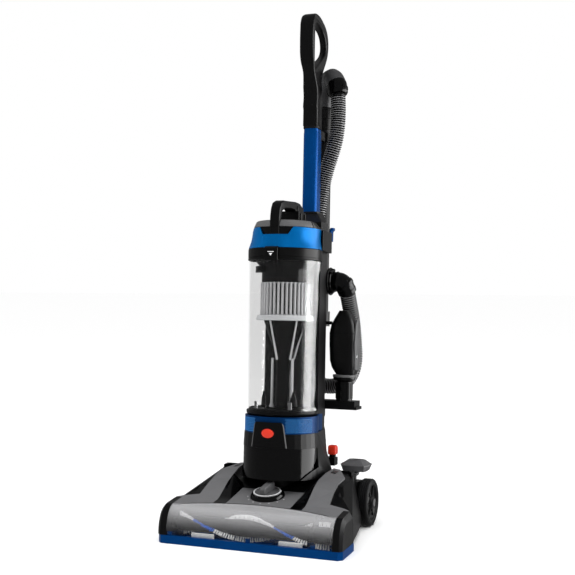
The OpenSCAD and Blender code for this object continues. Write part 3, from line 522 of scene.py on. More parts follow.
def resample(points, step):
    """Points the same distance apart along a polyline, and its length."""
    lengths = [0.0]
    for a, b in zip(points, points[1:]):
        lengths.append(lengths[-1] + (b - a).length)
    count = max(2, round(lengths[-1] / step))
    out = []
    i = 0
    for k in range(count + 1):
        want = lengths[-1] * k / count
        while i < len(points) - 2 and lengths[i + 1] < want:
            i += 1
        span = lengths[i + 1] - lengths[i]
        out.append(points[i].lerp(points[i + 1], (want - lengths[i]) / span))
    return out, lengths[-1]


def circle_at(path, i, r, sides, side=Vector((0, 1, 0))):
    """Circle of radius r round point i of a path, square to it."""
    ahead = (path[min(i + 1, len(path) - 1)] - path[max(i - 1, 0)]).normalized()
    across = (side - ahead * side.dot(ahead)).normalized()
    other = ahead.cross(across)
    angles = [TAU * k / sides for k in range(sides)]
    return [path[i] + across * (r * math.cos(a)) + other * (r * math.sin(a)) for a in angles]


def sweep(path, radius, sides, side=Vector((0, 1, 0))):
    """Round tube along path; radius(i) is its size at point i."""
    return shell([circle_at(path, i, radius(i), sides, side) for i in range(len(path))])


# ------------------------------------------------------------------ hose

# The same points as in the CAD source, in the upright's frame, from the port to the wand
HOSE_ROUTE = [
    (97, 129, 494), (98, 142, 470), (100, 155, 442), (101, 165, 415), (102, 172, 385), (102, 178, 353),
    (96, 184, 325), (82, 191, 303), (60, 198, 290), (36, 202, 286), (12, 203, 290), (-10, 203, 303),
    (-24, 203, 325), (-30, 203, 353), (-30, 203, 410), (-28, 203, 470), (-22, 203, 530), (-13, 203, 585),
    (-4, 203, 635), (4, 203, 680), (10, 203, 720), (15, 203, 750), (23, 203, 780), (33, 203, 812),
    (41, 204, 845), (45, 204, 880), (45, 205, 915), (43, 207, 945),
]
HOSE_R = 17
HOSE_SIDES = 28
HOSE_PITCH = 5.1
RIB_DEPTH = 3.0


def make_hose():
    """Corrugated stretch hose: one rib of the coil after another along its route."""
    route = [Vector(p) for p in HOSE_ROUTE]
    steps_per_rib = 8
    path, length = resample(spline(route, 12), HOSE_PITCH / steps_per_rib)

    def radius(i):
        phase = (i % steps_per_rib) / steps_per_rib
        return HOSE_R - RIB_DEPTH * (0.5 - 0.5 * math.cos(TAU * phase)) ** 2

    hose = skin("stretch_hose", sweep(path, radius, HOSE_SIDES), "upright", "hose_plastic", angle=80)
    # A painted highlight: a lighter band round the crest of every rib stands in for the lamps' reflection on the
    # ribs
    section = [(-1, HOSE_R), (0, HOSE_R + 0.2), (1, HOSE_R), (1, HOSE_R - 0.7), (-1, HOSE_R - 0.7)]
    bands = []
    for i in range(steps_per_rib, len(path) - steps_per_rib, steps_per_rib):
        bands.append(hoop([circle_at(path, i + step, r, HOSE_SIDES) for step, r in section]))
    piece("hose_crests", join(*bands), "upright", "hose_plastic", material="painted_hose_highlight", angle=60)


# ------------------------------------------------------------------ handle, wand and elbow

# Side outline (v, w) of the grip and of the hole through it
GRIP_OUTER = [
    (139, 862.5), (139, 900), (139, 930), (133, 955), (124, 980), (112, 1003), (106, 1022), (104, 1050),
    (105, 1078), (109, 1094), (118, 1106), (136, 1113.5), (160, 1116), (188, 1114), (213, 1107), (230, 1095),
    (239, 1078), (240, 1058), (234, 1039), (223, 1022), (208, 1003), (192, 980), (183, 962), (181, 945),
    (181, 900), (181, 862.5),
]
GRIP_HOLE = [
    (126, 1020), (125, 1050), (126, 1074), (131, 1087), (142, 1094), (168, 1094.5), (194, 1090), (213, 1080),
    (221, 1066), (221, 1052), (212, 1038), (190, 1022), (165, 1007), (142, 993), (134, 989), (129, 996),
]
# Half width of the grip at each v, full at the front strap and slim at the rear one
GRIP_HALF = [(103, 14), (108, 16), (116, 16), (128, 13), (160, 11.5), (200, 8.5), (238, 8)]
# The loop begins at this height, and the block under it blends into it over this length
GRIP_LOOP_W = 948
GRIP_BLEND = 40
GRIP_EDGE = 4
# Outline points under this height keep their corners
GRIP_SQUARE_W = 900


def make_grip():
    """Looped grip: a thick plate whose width narrows towards the rear strap, with soft edges."""
    half = 17
    square_ends = [p for p in GRIP_OUTER if p[1] < GRIP_SQUARE_W]
    curved = smooth_loop([p for p in GRIP_OUTER if p[1] >= GRIP_SQUARE_W], 4)[:-4]
    outline = [square_ends[0]] + curved + [square_ends[-1]]
    verts, faces = moved(plate(outline, half, GRIP_EDGE, [smooth_loop(GRIP_HOLE, 4)], 3), SIDEWAYS)
    for p in verts:
        narrow = between(GRIP_HALF, p.y) / half
        share = min(1.0, max(0.0, (p.z - GRIP_LOOP_W) / GRIP_BLEND))
        block_round = 1 - 0.16 * max(0.0, (p.y - 150) / 31) ** 2
        p.x *= block_round + (narrow - block_round) * share
    skin("grip_loop", (verts, faces), "upright", "black_satin", angle=40)


def make_handle_tube():
    """Blue tube with round corners that slims at its top, and the gasket under the grip."""
    low, high = local_box("handle_tube")
    width, depth = high.x - low.x, high.y - low.y
    centre = (low.y + high.y) / 2
    stations = [(low.z, 1.0), (high.z - 14, 1.0), (high.z - 13, 0.975), (high.z, 0.975)]
    rings = [[(x, centre + v, w) for x, v in round_rect(width * s, depth * s, 11.5 * s)] for w, s in stations]
    skin("handle_tube", shell(rings), "upright", "blue_gloss")
    # Black gasket where the grip's block meets the tube
    rings = [[(x, centre + v, w) for x, v in round_rect(width + g, depth + g, 12)]
             for w, g in ((high.z - 4, 0.2), (high.z - 3, 1.8), (high.z + 1.5, 1.8))]
    piece("grip_gasket", shell(rings), "upright", "black_matte")


def make_wand():
    """Wand tube with a ribbed gripping cuff and one groove round it."""
    low, high = local_box("wand")
    centre = Vector(((low.x + high.x) / 2, (low.y + high.y) / 2, 0))
    r, top = high.x - 3, high.z
    cuff = r + 3
    profile = [(r - 2, low.z), (r, low.z), (r, top - 50), (cuff - 1, top - 50), (cuff, top - 46),
               (cuff, top - 29), (cuff - 1.6, top - 28), (cuff - 1.6, top - 25.5), (cuff, top - 24.5),
               (cuff, top - 3), (cuff - 2, top), (r - 2, top)]
    ribs = [arc_block(cuff - 1, cuff + 0.6, top - 22, top - 5, a, 7, 4) for a in range(0, 360, 20)]
    body = moved(join(lathe(profile, 64), *ribs), Matrix.Translation(centre))
    skin("wand", body, "upright", "charcoal")


ELBOW_ROUTE = [
    (0, 242, 924), (0, 242, 948), (3, 240, 969), (13, 232, 985), (27, 220, 985), (37, 211.5, 971),
    (41, 208.5, 957), (43, 207, 945.4),
]
# Share of the elbow's length, and its radius there
ELBOW_SHELL = [(0.0, 16.5), (0.1, 18), (0.25, 20), (0.45, 21.8), (0.6, 22.6), (0.84, 22.6)]
ELBOW_COLLAR = [(0.8, 22.8), (0.82, 23.4), (0.97, 23), (1.0, 21)]


def make_elbow():
    """Grey elbow that turns the wand into the hose, with a rib and a black tabbed collar."""
    path, _ = resample(spline([Vector(p) for p in ELBOW_ROUTE], 10), 0.8)
    last = len(path) - 1

    def part(table):
        first, final = round(table[0][0] * last), round(table[-1][0] * last)
        return sweep(path[first:final + 1], lambda i: between(table, (first + i) / last), 48)

    shell_part = part(ELBOW_SHELL)
    rib = part([(0.6, 21.0), (0.605, 23.3), (0.63, 23.3), (0.635, 21.0)])
    elbow = piece("wand_elbow_shell", join(shell_part, rib), "upright", "charcoal", material="grip_grey")
    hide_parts("wand_elbow")
    ahead = (path[last] - path[last - 4]).normalized()
    seat = Matrix.Translation(path[round(0.91 * last)]) @ ahead.to_track_quat("Z", "Y").to_matrix().to_4x4()
    tabs = [moved(block((-2.5, 22, -4), (2.5, 24.2, 4)), seat @ turn(45 * k, "Z")) for k in range(8)]
    piece("wand_elbow_collar", join(part(ELBOW_COLLAR), *tabs), "upright", "black_gloss", edge=(0.0005, 2))


# ------------------------------------------------------------------ lid and carry handle

# Half width of the scoop at each height above the band's foot
SCOOP_HALF = [(27, 28), (60, 46)]
# How much narrower the band's top is than its foot, by angle from the front: the rear stays upright
LID_TAPER = [(0, 10.5), (75, 10), (112, 2), (180, 2)]


def lid_radius(height, angle, low, high):
    """The band's concave flare, from its wide foot to its top."""
    t = (height - low.z) / (high.z - low.z)
    away = abs((math.degrees(angle) + 180) % 360 - 180)
    return high.x - between(LID_TAPER, away) * t - 1.6 * math.sin(math.pi * min(1.0, t * 1.25))


def make_lid_band():
    """Blue band with a scoop cut in its front; columns bunch up along the scoop's slanted ends."""
    low, high = local_box("lid_band")
    floor_w = low.z + SCOOP_HALF[0][0]
    across, around, rows_low, rows_high = 24, 100, 9, 8
    rows = []
    for j in range(rows_low + rows_high + 1):
        if j <= rows_low:
            w = low.z + (floor_w - low.z) * j / rows_low
        else:
            w = floor_w + (high.z - floor_w) * (j - rows_low) / rows_high
        edge = math.asin(between(SCOOP_HALF, w - low.z) / lid_radius(w, 0, low, high))
        rest = [edge + (TAU - 2 * edge) * k / around for k in range(around + 1)]
        front = [-edge + 2 * edge * k / across for k in range(1, across)]
        rows.append([spot(lid_radius(w, a, low, high), a, w) for a in rest + front])
    count = around + across
    verts = [Vector(p) for row in rows for p in row]
    faces = []
    for j in range(len(rows) - 1):
        span = count if j < rows_low else around
        for k in range(span):
            a, b = j * count + k, j * count + (k + 1) % count
            faces.append((a, b, b + count, a + count))
    # The band's blue is the lighter copy: painted light
    band = piece("lid_band_skin", (verts, faces), "lid", "blue_gloss", material="blue_gloss_lit_copy", angle=40)
    thick = band.modifiers.new("wall", "SOLIDIFY")
    thick.thickness = 0.0036
    thick.offset = -1
    bevel(band, 0.0011, 3, 50)
    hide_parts("lid_band")
    # Dark back of the scoop
    back = arc_block(61.5, 64, floor_w - 4, high.z - 0.5, 0, 96, 40)
    piece("lid_scoop", back, "lid", "black_satin", edge=(0.0008, 2))


def make_lid_top():
    """Grey top with a groove, the black shoulder behind it and the plinth for the carry handle."""
    high = local_box("lid_top")[1]
    base, top = high.z - 13.8, high.z
    r = high.x
    profile = [(r - 8, base - 14), (r - 4, base - 14), (r - 4, base - 0.2), (r - 0.6, base), (r, base + 0.8),
               (r - 1.2, base + 4.2), (r - 4.6, top - 2.2), (r - 7, top - 0.3), (r - 9, top),
               (r - 24, top + 0.1), (r - 25, top - 1.1), (r - 26.5, top - 1.1), (r - 27.5, top + 0.3),
               (8, top + 0.6)]
    skin("lid_top", disc_lathe(profile, 128), "lid", "grey_cover", material="lid_grey", angle=30)
    # Black shoulder that falls from the grey top to the band's upright rear
    slope = []
    for k in range(49):
        a = math.radians(78 + 204 * k / 48)
        away = abs(math.degrees(a) - 180)
        outer = 75.5 - between([(0, 2), (68, 2), (105, 9.5)], away)
        section = [(outer, base - 1), (outer, base + 1.5), (r - 3, top - 1.5), (r - 10, top - 1.5),
                   (r - 10, base - 1)]
        slope.append([spot(q, a, w) for q, w in section])
    piece("lid_shoulder", shell(slope), "lid", "black_satin", edge=(0.0006, 2))
    # Plinth that the handle's rear end stands on, with upright ribs on its sides
    plinth = [((-21, 20, top - 2), (21, 66, top + 26)), ((-14, 34, top + 20), (14, 70, top + 38)),
              ((-24, 26, top - 2), (24, 32, top + 22)), ((-24, 52, top - 2), (24, 58, top + 22))]
    piece("lid_plinth", join(*(block(*corners) for corners in plinth)), "lid", "black_satin", edge=(0.002, 3))


# Side outline (v, w), which starts and ends at the front foot
CARRY_OUTER = [
    (-68, 621), (-67.5, 640), (-64, 656), (-56, 669), (-40, 675), (-10, 677), (28, 680), (52, 679.5),
    (70, 673), (79, 661), (80, 650), (66, 648.4), (53, 646), (52, 634.3), (28, 634.3), (29, 646),
    (28, 656), (20, 662), (-6, 661.5), (-34, 658), (-47, 653), (-53, 642), (-56, 630), (-56.2, 621),
]


def make_carry_handle():
    """Arched handle, slim at its front foot and wider along the top and at the rear."""
    half = 10.5
    outline = []
    for p, q in zip(CARRY_OUTER, CARRY_OUTER[1:] + CARRY_OUTER[:1]):
        outline.append(p)
        if p[1] != CARRY_OUTER[0][1]:
            outline.append(((p[0] + q[0]) / 2, (p[1] + q[1]) / 2))
    verts, faces = moved(plate(outline, half, 3.2, resolution=3), SIDEWAYS)
    for p in verts:
        p.x *= 1 + 0.18 * min(1.0, max(0.0, (p.y + 50) / 60)) * (1 if p.z > 640 else 0.6)
    skin("carry_handle", (verts, faces), "lid", "black_satin", angle=45)
    foot = block((-9.6, -67.4, 600), (9.6, -61.5, 624))
    piece("carry_handle_foot", foot, "lid", "black_satin", edge=(0.0015, 3))


# ------------------------------------------------------------------ dirt tank

SEPARATOR_V = 6
SEPARATOR = shift(0, SEPARATOR_V, 0)


def make_tank_shell():
    """Clear wall with a moulded bead at both ends, the black rim with its lip, and the bottom door."""
    low, high = local_box("tank_wall")
    foot_r, top_r = 71.5, high.x
    profile = [(foot_r - 2.5, low.z), (foot_r, low.z), (top_r - 0.3, high.z - 16), (top_r, high.z - 14),
               (top_r, high.z), (top_r - 2.5, high.z)]
    wall = skin("tank_wall", lathe(profile, 160), "tank", "clear_tank", angle=30)
    # Two of the studio's panels show in the clear wall alone
    shiny = bpy.data.collections.new("tank_reflections")
    shiny.objects.link(wall)
    for name in ("tank_panel", "tank_rear_panel"):
        bpy.data.objects[name].light_linking.receiver_collection = shiny

    low, high = local_box("tank_rim")
    r = high.x
    profile = [(70, low.z), (r - 1.4, low.z), (r, low.z + 1.2), (r, low.z + 4.6), (r - 0.7, low.z + 5.1),
               (r - 0.7, low.z + 5.9), (r, low.z + 6.4), (r, high.z - 1.4), (r - 1.4, high.z), (70, high.z)]
    skin("tank_rim", lathe(profile, 160), "tank", "black_gloss", material="black_satin")

    low, high = local_box("tank_door")
    r = high.x
    edge = high.z - 4
    profile = [(r - 9, low.z), (r - 3, low.z), (r - 0.6, low.z + 2.4), (r, low.z + 3.4), (r, edge - 1),
               (r - 1, edge), (r - 5, edge), (r - 5.2, high.z), (r - 8, high.z), (r - 9, high.z - 2.6),
               (20, high.z - 4)]
    latch = arc_block(r - 1, r + 1.8, low.z + 1.5, edge - 0.5, 0, 13)
    skin("tank_door", join(disc_lathe(profile, 160), latch), "tank", "black_satin", edge=(0.0005, 2, 40))


def make_tank_button():
    """Latch button with a raised frame and a plain arrow that points down."""
    low, high = local_box("tank_button")
    side = [(high.y, low.z), (low.y + 2.5, low.z + 2), (low.y, low.z + 8), (low.y, high.z - 4),
            (low.y + 4.5, high.z), (high.y, high.z)]
    width = high.x - low.x
    body = moved(plate(side, width / 2, 1.3, resolution=3), SIDEWAYS)
    skin("tank_button", body, "tank_latch", "black_gloss", angle=40)
    tip = (low.z + high.z) / 2 - 3.5
    arrow = [(0, tip), (3.4, tip + 5), (-3.4, tip + 5)]
    bar = [(-6.5, tip + 7.4), (6.5, tip + 7.4), (6.5, tip + 8.6), (-6.5, tip + 8.6)]
    marks = join(moved(plate(arrow, 0.3, 0.1), FACING), moved(plate(bar, 0.3, 0.1), FACING))
    piece("tank_button_arrow", moved(marks, shift(0, low.y - 0.15, 0)), "tank_latch", "bristle_white")


def make_separator():
    """The cyclone's black hood with its inlet, the ribbed screen and the pale skirt under it."""
    low, high = local_box("separator_cone")
    hood_r = 50
    profile = [(hood_r - 4, low.z), (hood_r - 0.6, low.z), (hood_r, low.z + 0.8), (hood_r, high.z - 34),
               (hood_r + 1.5, high.z - 30), (69.5 - SEPARATOR_V, high.z - 16.4), (64, high.z - 15),
               (64, high.z), (hood_r - 4, high.z)]
    inlet = arc_block(hood_r - 2, 63, high.z - 37, high.z - 27, -58, 30)
    inlet_lip = arc_block(hood_r + 1, 63.4, high.z - 39.5, high.z - 36.8, -58, 34)
    hood = piece("separator_hood", moved(join(lathe(profile, 128), inlet, inlet_lip), SEPARATOR), "tank",
                 "black_gloss")
    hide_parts("separator_cone")

    low, high = local_box("shroud_screen")
    ribs, rib_r, slot_r = 36, 51.6, 48.6
    skirt_w = low.z + 11
    outline = []
    for k in range(ribs):
        for share, r in ((0.0, slot_r), (0.1, rib_r), (0.3, rib_r + 0.4), (0.5, rib_r), (0.6, slot_r)):
            outline.append((TAU * (k + share) / ribs, r))
    rings = [[spot(r, a, w) for a, r in outline] for w in (skirt_w, high.z)]
    skin("shroud_screen", moved(shell(rings), SEPARATOR), "tank", "screen_grey", angle=20)
    slots = [arc_block(slot_r - 1, slot_r + 0.35, skirt_w + 2, high.z - 2, 360 * (k + 0.8) / ribs, 3.2, 3)
             for k in range(ribs)]
    piece("shroud_slots", moved(join(*slots), SEPARATOR), "tank", "black_matte")
    profile = [(46, low.z), (58.4, low.z), (60, low.z + 1), (60, low.z + 4), (59.2, low.z + 4.6),
               (59.2, low.z + 7), (58.2, low.z + 7.8), (57.6, skirt_w - 0.6), (56.8, skirt_w), (46, skirt_w)]
    piece("separator_skirt", moved(lathe(profile, 128), SEPARATOR), "tank", "screen_grey",
          material="skirt_white")


def make_funnel():
    """Black dust funnel with collars, clear posts and struts drawn pale grey as a painted highlight, two vanes and
    the door's clips.
    """
    low, high = local_box("dust_funnel")
    joint_w = low.z + 100.8
    profile = [(10, low.z), (17.5, low.z), (19, low.z + 2), (17.6, low.z + 8), (16.6, joint_w - 4),
               (18.6, joint_w - 1), (18.6, joint_w + 3), (17, joint_w + 6), (30, joint_w + 38), (44, high.z),
               (10, high.z)]
    collars = [lathe([(17, low.z + h), (18.4, low.z + h), (18.4, low.z + h + 2), (17, low.z + h + 2)], 64)
               for h in (36, 68)]
    skin("dust_funnel", moved(join(disc_lathe(profile, 96), *collars), SEPARATOR), "tank", "black_gloss")
    post = disc_lathe([(5.4, 0), (5.0, 3), (3.0, 9), (2.8, joint_w - low.z)], 20)
    posts = [moved(post, shift(*spot(24, math.radians(a), low.z))) for a in (-70, 65, 178)]
    for a in (-20, 51, 140, 220):
        line = [Vector(spot(r, math.radians(a), w)) for r, w in ((23, joint_w - 2), (47, high.z))]
        posts.append(sweep(line, lambda i: (2.2, 1.8)[i], 12, Vector((0.9, 0.43, 0))))
    # Pale grey on the clear posts and struts: painted highlight
    piece("funnel_posts", moved(join(*posts), SEPARATOR), "tank", "grey_light", material="screen_grey")
    vane = moved(plate([(-9, 0), (9, 0), (8, 14), (3, 30), (-1, 34), (-6, 22)], 1.5, 0.6), FACING)
    vanes = [moved(vane, shift(0, 0, low.z) @ turn(a, "Z") @ shift(0, -46, 0)) for a in (-42, 46)]
    piece("funnel_vanes", moved(join(*vanes), SEPARATOR), "tank", "black_gloss")
    door_top = local_box("tank_door")[1].z
    clips = [arc_block(64.5, 68.4, door_top - 0.5, door_top + 15, a, 7, 6) for a in (-33, 33)]
    piece("door_clips", join(*clips), "tank", "steel", edge=(0.0012, 3))


# ------------------------------------------------------------------ spine, hose port, hooks and hand tool

def make_spine_details():
    """The spine's shoulder under the handle tube, its ribbed rear face and the collar beside the lid."""
    rear, top = local_box("rear_spine")[1].y, 640
    foot = [(-58, 70), (58, 70), (61, 94), (31, rear + 0.4), (-31, rear + 0.4), (-61, 94)]
    head = [(-23.6, 134.4), (23.6, 134.4), (23.6, 150), (23.6, rear + 0.4), (-23.6, rear + 0.4), (-23.6, 150)]
    shoulder = shell([[(x, v, top - 4) for x, v in foot], [(x, v, top + 26) for x, v in head],
                      [(x * 0.96, v, top + 30) for x, v in head]])
    piece("spine_shoulder", shoulder, "upright", "black_matte", edge=(0.002, 3))
    # Rear face: two long ribs, six cooling bars and the two bars of a plain panel
    ribs = [block((x - 1.5, rear - 1, 300), (x + 1.5, rear + 1.6, 600)) for x in (-17, 17)]
    slots = [block((-12, rear - 0.4, w), (12, rear + 0.9, w + 3)) for w in range(540, 591, 10)]
    frame_bars = [block((-13, rear - 1, w), (13, rear + 0.9, w + 2)) for w in (344, 414)]
    piece("spine_back_ribs", join(*ribs, *slots, *frame_bars), "upright", "black_satin", edge=(0.0006, 2))
    # The collar is drawn black, where the record names blue: it lies in shade beside the lid, and its black is
    # painted shade
    low, high = local_box("spine_collar")
    plan = [(66.8, 40), (76.5, 14), (77.4, 22), (75, 46), (70, 97.5), (57, 97.5), (62.8, 92), (63, 42)]
    levels = ((low.z, 0), (high.z - 3, 0), (high.z, 0.6))
    side = shell([[(x - inset, v, w) for x, v in plan] for w, inset in levels])
    skin("spine_collar", join(side, mirrored(side)), "upright", "black_satin", edge=(0.0012, 3))


# The elbow's middle line from the spine to the hose, and its radius at each share of the way
PORT_ROUTE = [(71, 114, 517), (77, 114, 517), (86, 116, 515.5), (93.5, 121, 507.5), (97, 128.8, 494.6)]
PORT_RADII = [(0.0, 18), (0.06, 19.5), (0.16, 21.6), (0.2, 21.6), (0.24, 20), (0.5, 20), (0.54, 21.8),
              (0.62, 21.8), (0.66, 20), (0.78, 19.4), (0.82, 20.6), (1.0, 20.2)]


def make_hose_port():
    """Round socket on the spine's side: stepped flange, bayonet lugs and the ribbed elbow."""
    low, high = local_box("hose_port")
    centre = Vector((0, (low.y + high.y) / 2, (low.z + high.z) / 2))
    profile = [(20, 46), (20, 62.4), (30, 62.4), (30, 64), (28.8, 65.6), (26, 66), (25.4, 66), (25.4, 69.4),
               (24, 70.4), (21, 70.4), (20, 66), (16, 66), (16, 46)]
    across = Matrix.Translation(centre) @ turn(90, "Y")
    lugs = [moved(block((-4, 24, 64), (4, 27.6, 70.6)), turn(60 * k + 15, "Z")) for k in range(6)]
    flange = piece("hose_port_flange", moved(join(lathe(profile, 96), *lugs), across), "upright",
                   "black_gloss", edge=(0.0004, 2, 40))
    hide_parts("hose_port")
    path, _ = resample(spline([Vector(p) for p in PORT_ROUTE], 10), 0.6)
    last = len(path) - 1
    skin("port_elbow", sweep(path, lambda i: between(PORT_RADII, i / last), 48), "upright", "black_gloss",
         angle=50)


def make_cord_hooks():
    """Blue turning hook beside the lid, and the fixed black one at the rear."""
    low, high = local_box("upper_cord_hook")
    centre = Vector((0, (low.y + high.y) / 2, 616))
    side = [(50.5, -9), (46.4, -8.5), (46.4, 18), (48, 21), (54.4, 21), (54.4, 15), (52, 14.6), (50.8, 11)]
    arm = moved(plate(side, 8, 1.1), Matrix.Translation(centre) @ FACING)
    pin = moved(disc_lathe([(8, 34), (8, 46.8)], 48), Matrix.Translation(centre) @ turn(90, "Y"))
    skin("upper_cord_hook", join(arm, pin), "cord_hook", "blue_gloss")

    low, high = local_box("lower_cord_hook")
    outline = [(low.y, high.z), (high.y - 2, high.z), (high.y, high.z - 2), (high.y, low.z + 1.5),
               (high.y - 1.5, low.z), (high.y - 4.5, low.z), (high.y - 6, low.z + 2),
               (high.y - 6, high.z - 8), (low.y, high.z - 8)]
    half = (high.x - low.x) / 2
    body = moved(plate(outline, half, 1.2), shift(low.x + half, 0, 0) @ SIDEWAYS)
    web = block((low.x + half - 1.5, low.y, high.z - 14), (low.x + half + 1.5, high.y - 6, high.z - 7))
    skin("lower_cord_hook", join(body, web), "upright", "black_satin")


def make_hand_tool():
    """Air-driven brush tool: black body, grey side shell with a screw, grey band, collar and neck."""
    # Height, then the body's sides in x and in v
    stages = [(318.2, 81, 121, 99, 139), (333, 72, 124, 94, 143), (348, 68, 124.4, 92, 144),
              (380, 66.4, 124.6, 92, 143), (406, 66.2, 124.2, 92, 142), (424, 70, 121, 94, 138),
              (438, 77, 115, 97.5, 134), (448, 83, 108, 101, 130), (454.2, 86, 104, 104, 127)]
    rings = []
    for w, x0, x1, v0, v1 in stages:
        shape = round_rect(x1 - x0, v1 - v0, min(x1 - x0, v1 - v0) * 0.28, 6)
        rings.append([((x0 + x1) / 2 + a, (v0 + v1) / 2 + b, w) for a, b in shape])
    skin("tool_body", shell(rings), "hand_tool", "black_satin", angle=50)
    shell_plan = [(10, 3), (42, 0), (49, 12), (50, 60), (46, 84), (36, 108), (26, 112), (14, 98), (6, 60)]
    side = plate([(92 + v * 0.94, 326 + w) for v, w in shell_plan], 1.6, 1.4)
    piece("tool_side_shell", moved(side, shift(124.4, 0, 0) @ SIDEWAYS), "hand_tool", "grey_light",
          material="tool_grey")
    screw = moved(lathe([(0.6, 0), (4, 0), (4, 0.7), (3, 1.1), (0.6, 1.1)], 32),
                  shift(125.8, 112, 356) @ turn(90, "Y"))
    piece("tool_screw", screw, "hand_tool", "steel")
    seam = [[(x * 1.008 + 0.2, v, w + dw) for x, v, w in rings[4]] for dw in (-1, 1)]
    piece("tool_seam", shell(seam), "hand_tool", "black_matte")
    low, high = local_box("tool_collar")
    centre = shift((low.x + high.x) / 2, (low.y + high.y) / 2, 0)
    base, top = low.z, high.z
    profile = [(12, base), (17.4, base), (17.4, base + 40), (23, base + 44), (24.2, base + 49),
               (24.6, top - 1), (12, top - 0.5)]
    ribs = [moved(block((-0.9, 17, base + 4), (0.9, 18.4, base + 38)), turn(18 * k, "Z")) for k in range(20)]
    skin("tool_collar", moved(join(lathe(profile, 72), *ribs), centre), "hand_tool", "black_gloss")
    band = [(24.6, base + 50), (25, base + 51), (25, top - 1.4), (24.2, top - 0.6), (22, top - 0.6),
            (22, base + 50)]
    piece("tool_grey_band", moved(lathe(band, 72), centre), "hand_tool", "grey_light", material="tool_grey")


# ------------------------------------------------------------------ motor housing

# The screens' cells: rows in millimetres up the band, columns in degrees from the front
CELL_SIDES = 6
CELL_R = 1.45
CELL_ROWS = 9
ROW_STEP = 3.127
CELL_COLUMNS = 19
FIRST_COLUMN = 26
COLUMN_STEP = 2.55


def make_exhaust_band():
    """Fine perforated screens let into both sides of the blue band, and the band's two lips."""
    low, high = local_box("exhaust_grille")
    r = 75.5
    corners = [TAU * k / CELL_SIDES + 0.52 for k in range(CELL_SIDES)]
    outer = [(math.cos(c) * CELL_R, math.sin(c) * CELL_R) for c in corners]
    cells = []
    for sign in (-1, 1):
        for row in range(CELL_ROWS):
            for col in range(CELL_COLUMNS):
                a = math.radians(sign * (FIRST_COLUMN + (col + 0.5 * (row % 2)) * COLUMN_STEP))
                w = low.z + 3.6 + row * ROW_STEP
                rings = [[spot(r + lift, a + x * scale / r, w + up * scale) for x, up in outer]
                         for scale, lift in ((1.0, 0.05), (1.0, 0.75), (0.62, 0.75), (0.62, 0.05))]
                cells.append(hoop(rings))
    piece("exhaust_cells", join(*cells), "upright", "blue_band", material="cell_blue")
    lips = [arc_block(r - 0.5, r + 0.9, w, w + 1.2, 0, 200, 90) for w in (low.z + 0.2, high.z - 1.6)]
    piece("exhaust_lips", join(*lips), "upright", "blue_band")


def make_recess_panel():
    """Glossy panel sunk in the housing's front, narrower at its foot."""
    outer, inner, steps = 77.8, 76, 24
    half_width = [(112, 62), (125, 75.4), (174, 77)]
    rows = []
    for k in range(steps + 1):
        w = 112.6 + 61 * k / steps
        reach = math.asin(between(half_width, w) / outer)
        rows.append((w, reach, reach))
    piece("recess_panel", bowed_sheet(rows, inner, outer, 60), "upright", "black_gloss")


def bent(part, radius):
    """Bends a flat part that faces the front round the tank's axis."""
    return [Vector(spot(radius - p.y, p.x / radius, p.z)) for p in part[0]], part[1]


# Height of the badge's oval
OVAL_W = 205


def oval_plate(half_x, half_w, thick, radius, sides=48):
    """Curved oval in the middle of the badge."""
    angles = [TAU * k / sides for k in range(sides)]
    outline = [(half_x * math.cos(a), OVAL_W + half_w * math.sin(a)) for a in angles]
    return bent(moved(plate(outline, thick / 2, 0.25), FACING), radius)


def make_badge():
    """Black badge that tapers upwards, with grey rims at its sides and a plain red oval."""
    foot_w = local_box("badge_panel")[0].z
    inner, outer = 79.4, 82.0
    side = [(37, foot_w), (30.5, 220), (29, 224), (29, 225.5), (27, 227)]
    rows = []
    for (x0, w0), (x1, w1) in zip(side, side[1:]):
        steps = max(1, round(math.dist((x0, w0), (x1, w1)) / 3))
        rows += [(round(w0 + (w1 - w0) * k / steps, 2), x0 + (x1 - x0) * k / steps) for k in range(steps)]
    rows.append((side[-1][1], side[-1][0]))
    badge = bowed_sheet([(w, half / outer, half / inner) for w, half in rows], inner, outer, 16)
    skin("badge_panel", badge, "upright", "black_gloss", angle=30)
    mark = join(oval_plate(13, 9, 0.8, 82.3), oval_plate(10.5, 6.8, 1.2, 82.6))
    piece("badge_mark", mark, "upright", "red")
    rim_r = 80.6
    rims = []
    for sign in (-1, 1):
        line = [(37.4 * sign, foot_w), (30.8 * sign, 220), (28.6 * sign, 224.6)]
        path = [Vector(spot(rim_r, x / rim_r, w)) for x, w in line]
        rims.append(sweep(path, lambda i: (1.9, 1.6, 1.1)[i], 12, Vector((0, -1, 0))))
    piece("badge_rims", join(*rims), "upright", "charcoal", material="tool_grey")


def make_power_pedal():
    """Red foot switch with three ribs on top and a black stem."""
    centre_x, centre_v = 75, 114
    top = local_box("power_pedal")[1].z
    side = [(-9, 147), (9, 147), (10.5, 150), (10.5, 160), (6, 165), (-6, 166), (-10, 163), (-10.5, 150)]
    cap = moved(plate([(centre_v + v, w) for v, w in side], 8.4, 1.6, resolution=3),
                shift(centre_x + 0.4, 0, 0) @ SIDEWAYS)
    ribs = [block((centre_x - 6, centre_v + v, top - 2.6), (centre_x + 6.6, centre_v + v + 1.8, top))
            for v in (-6, -1, 4)]
    pedal = piece("power_pedal_cap", join(cap, *ribs), "power_switch", "red")
    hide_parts("power_pedal")
    stem = disc_lathe([(5, 131), (5, 139.5), (6.8, 141), (7.4, 147.5)], 40)
    piece("power_pedal_stem", moved(stem, shift(centre_x, centre_v, 0)), "power_switch", "red",
          material="black_satin")


# ------------------------------------------------------------------ foot

# The window's rear edge bows from ARCH_DEPTH at its ends to BOW_DEPTH in the middle
BOW_HALF = 154
BOW_DEPTH = 59
ARCH_DEPTH = 32
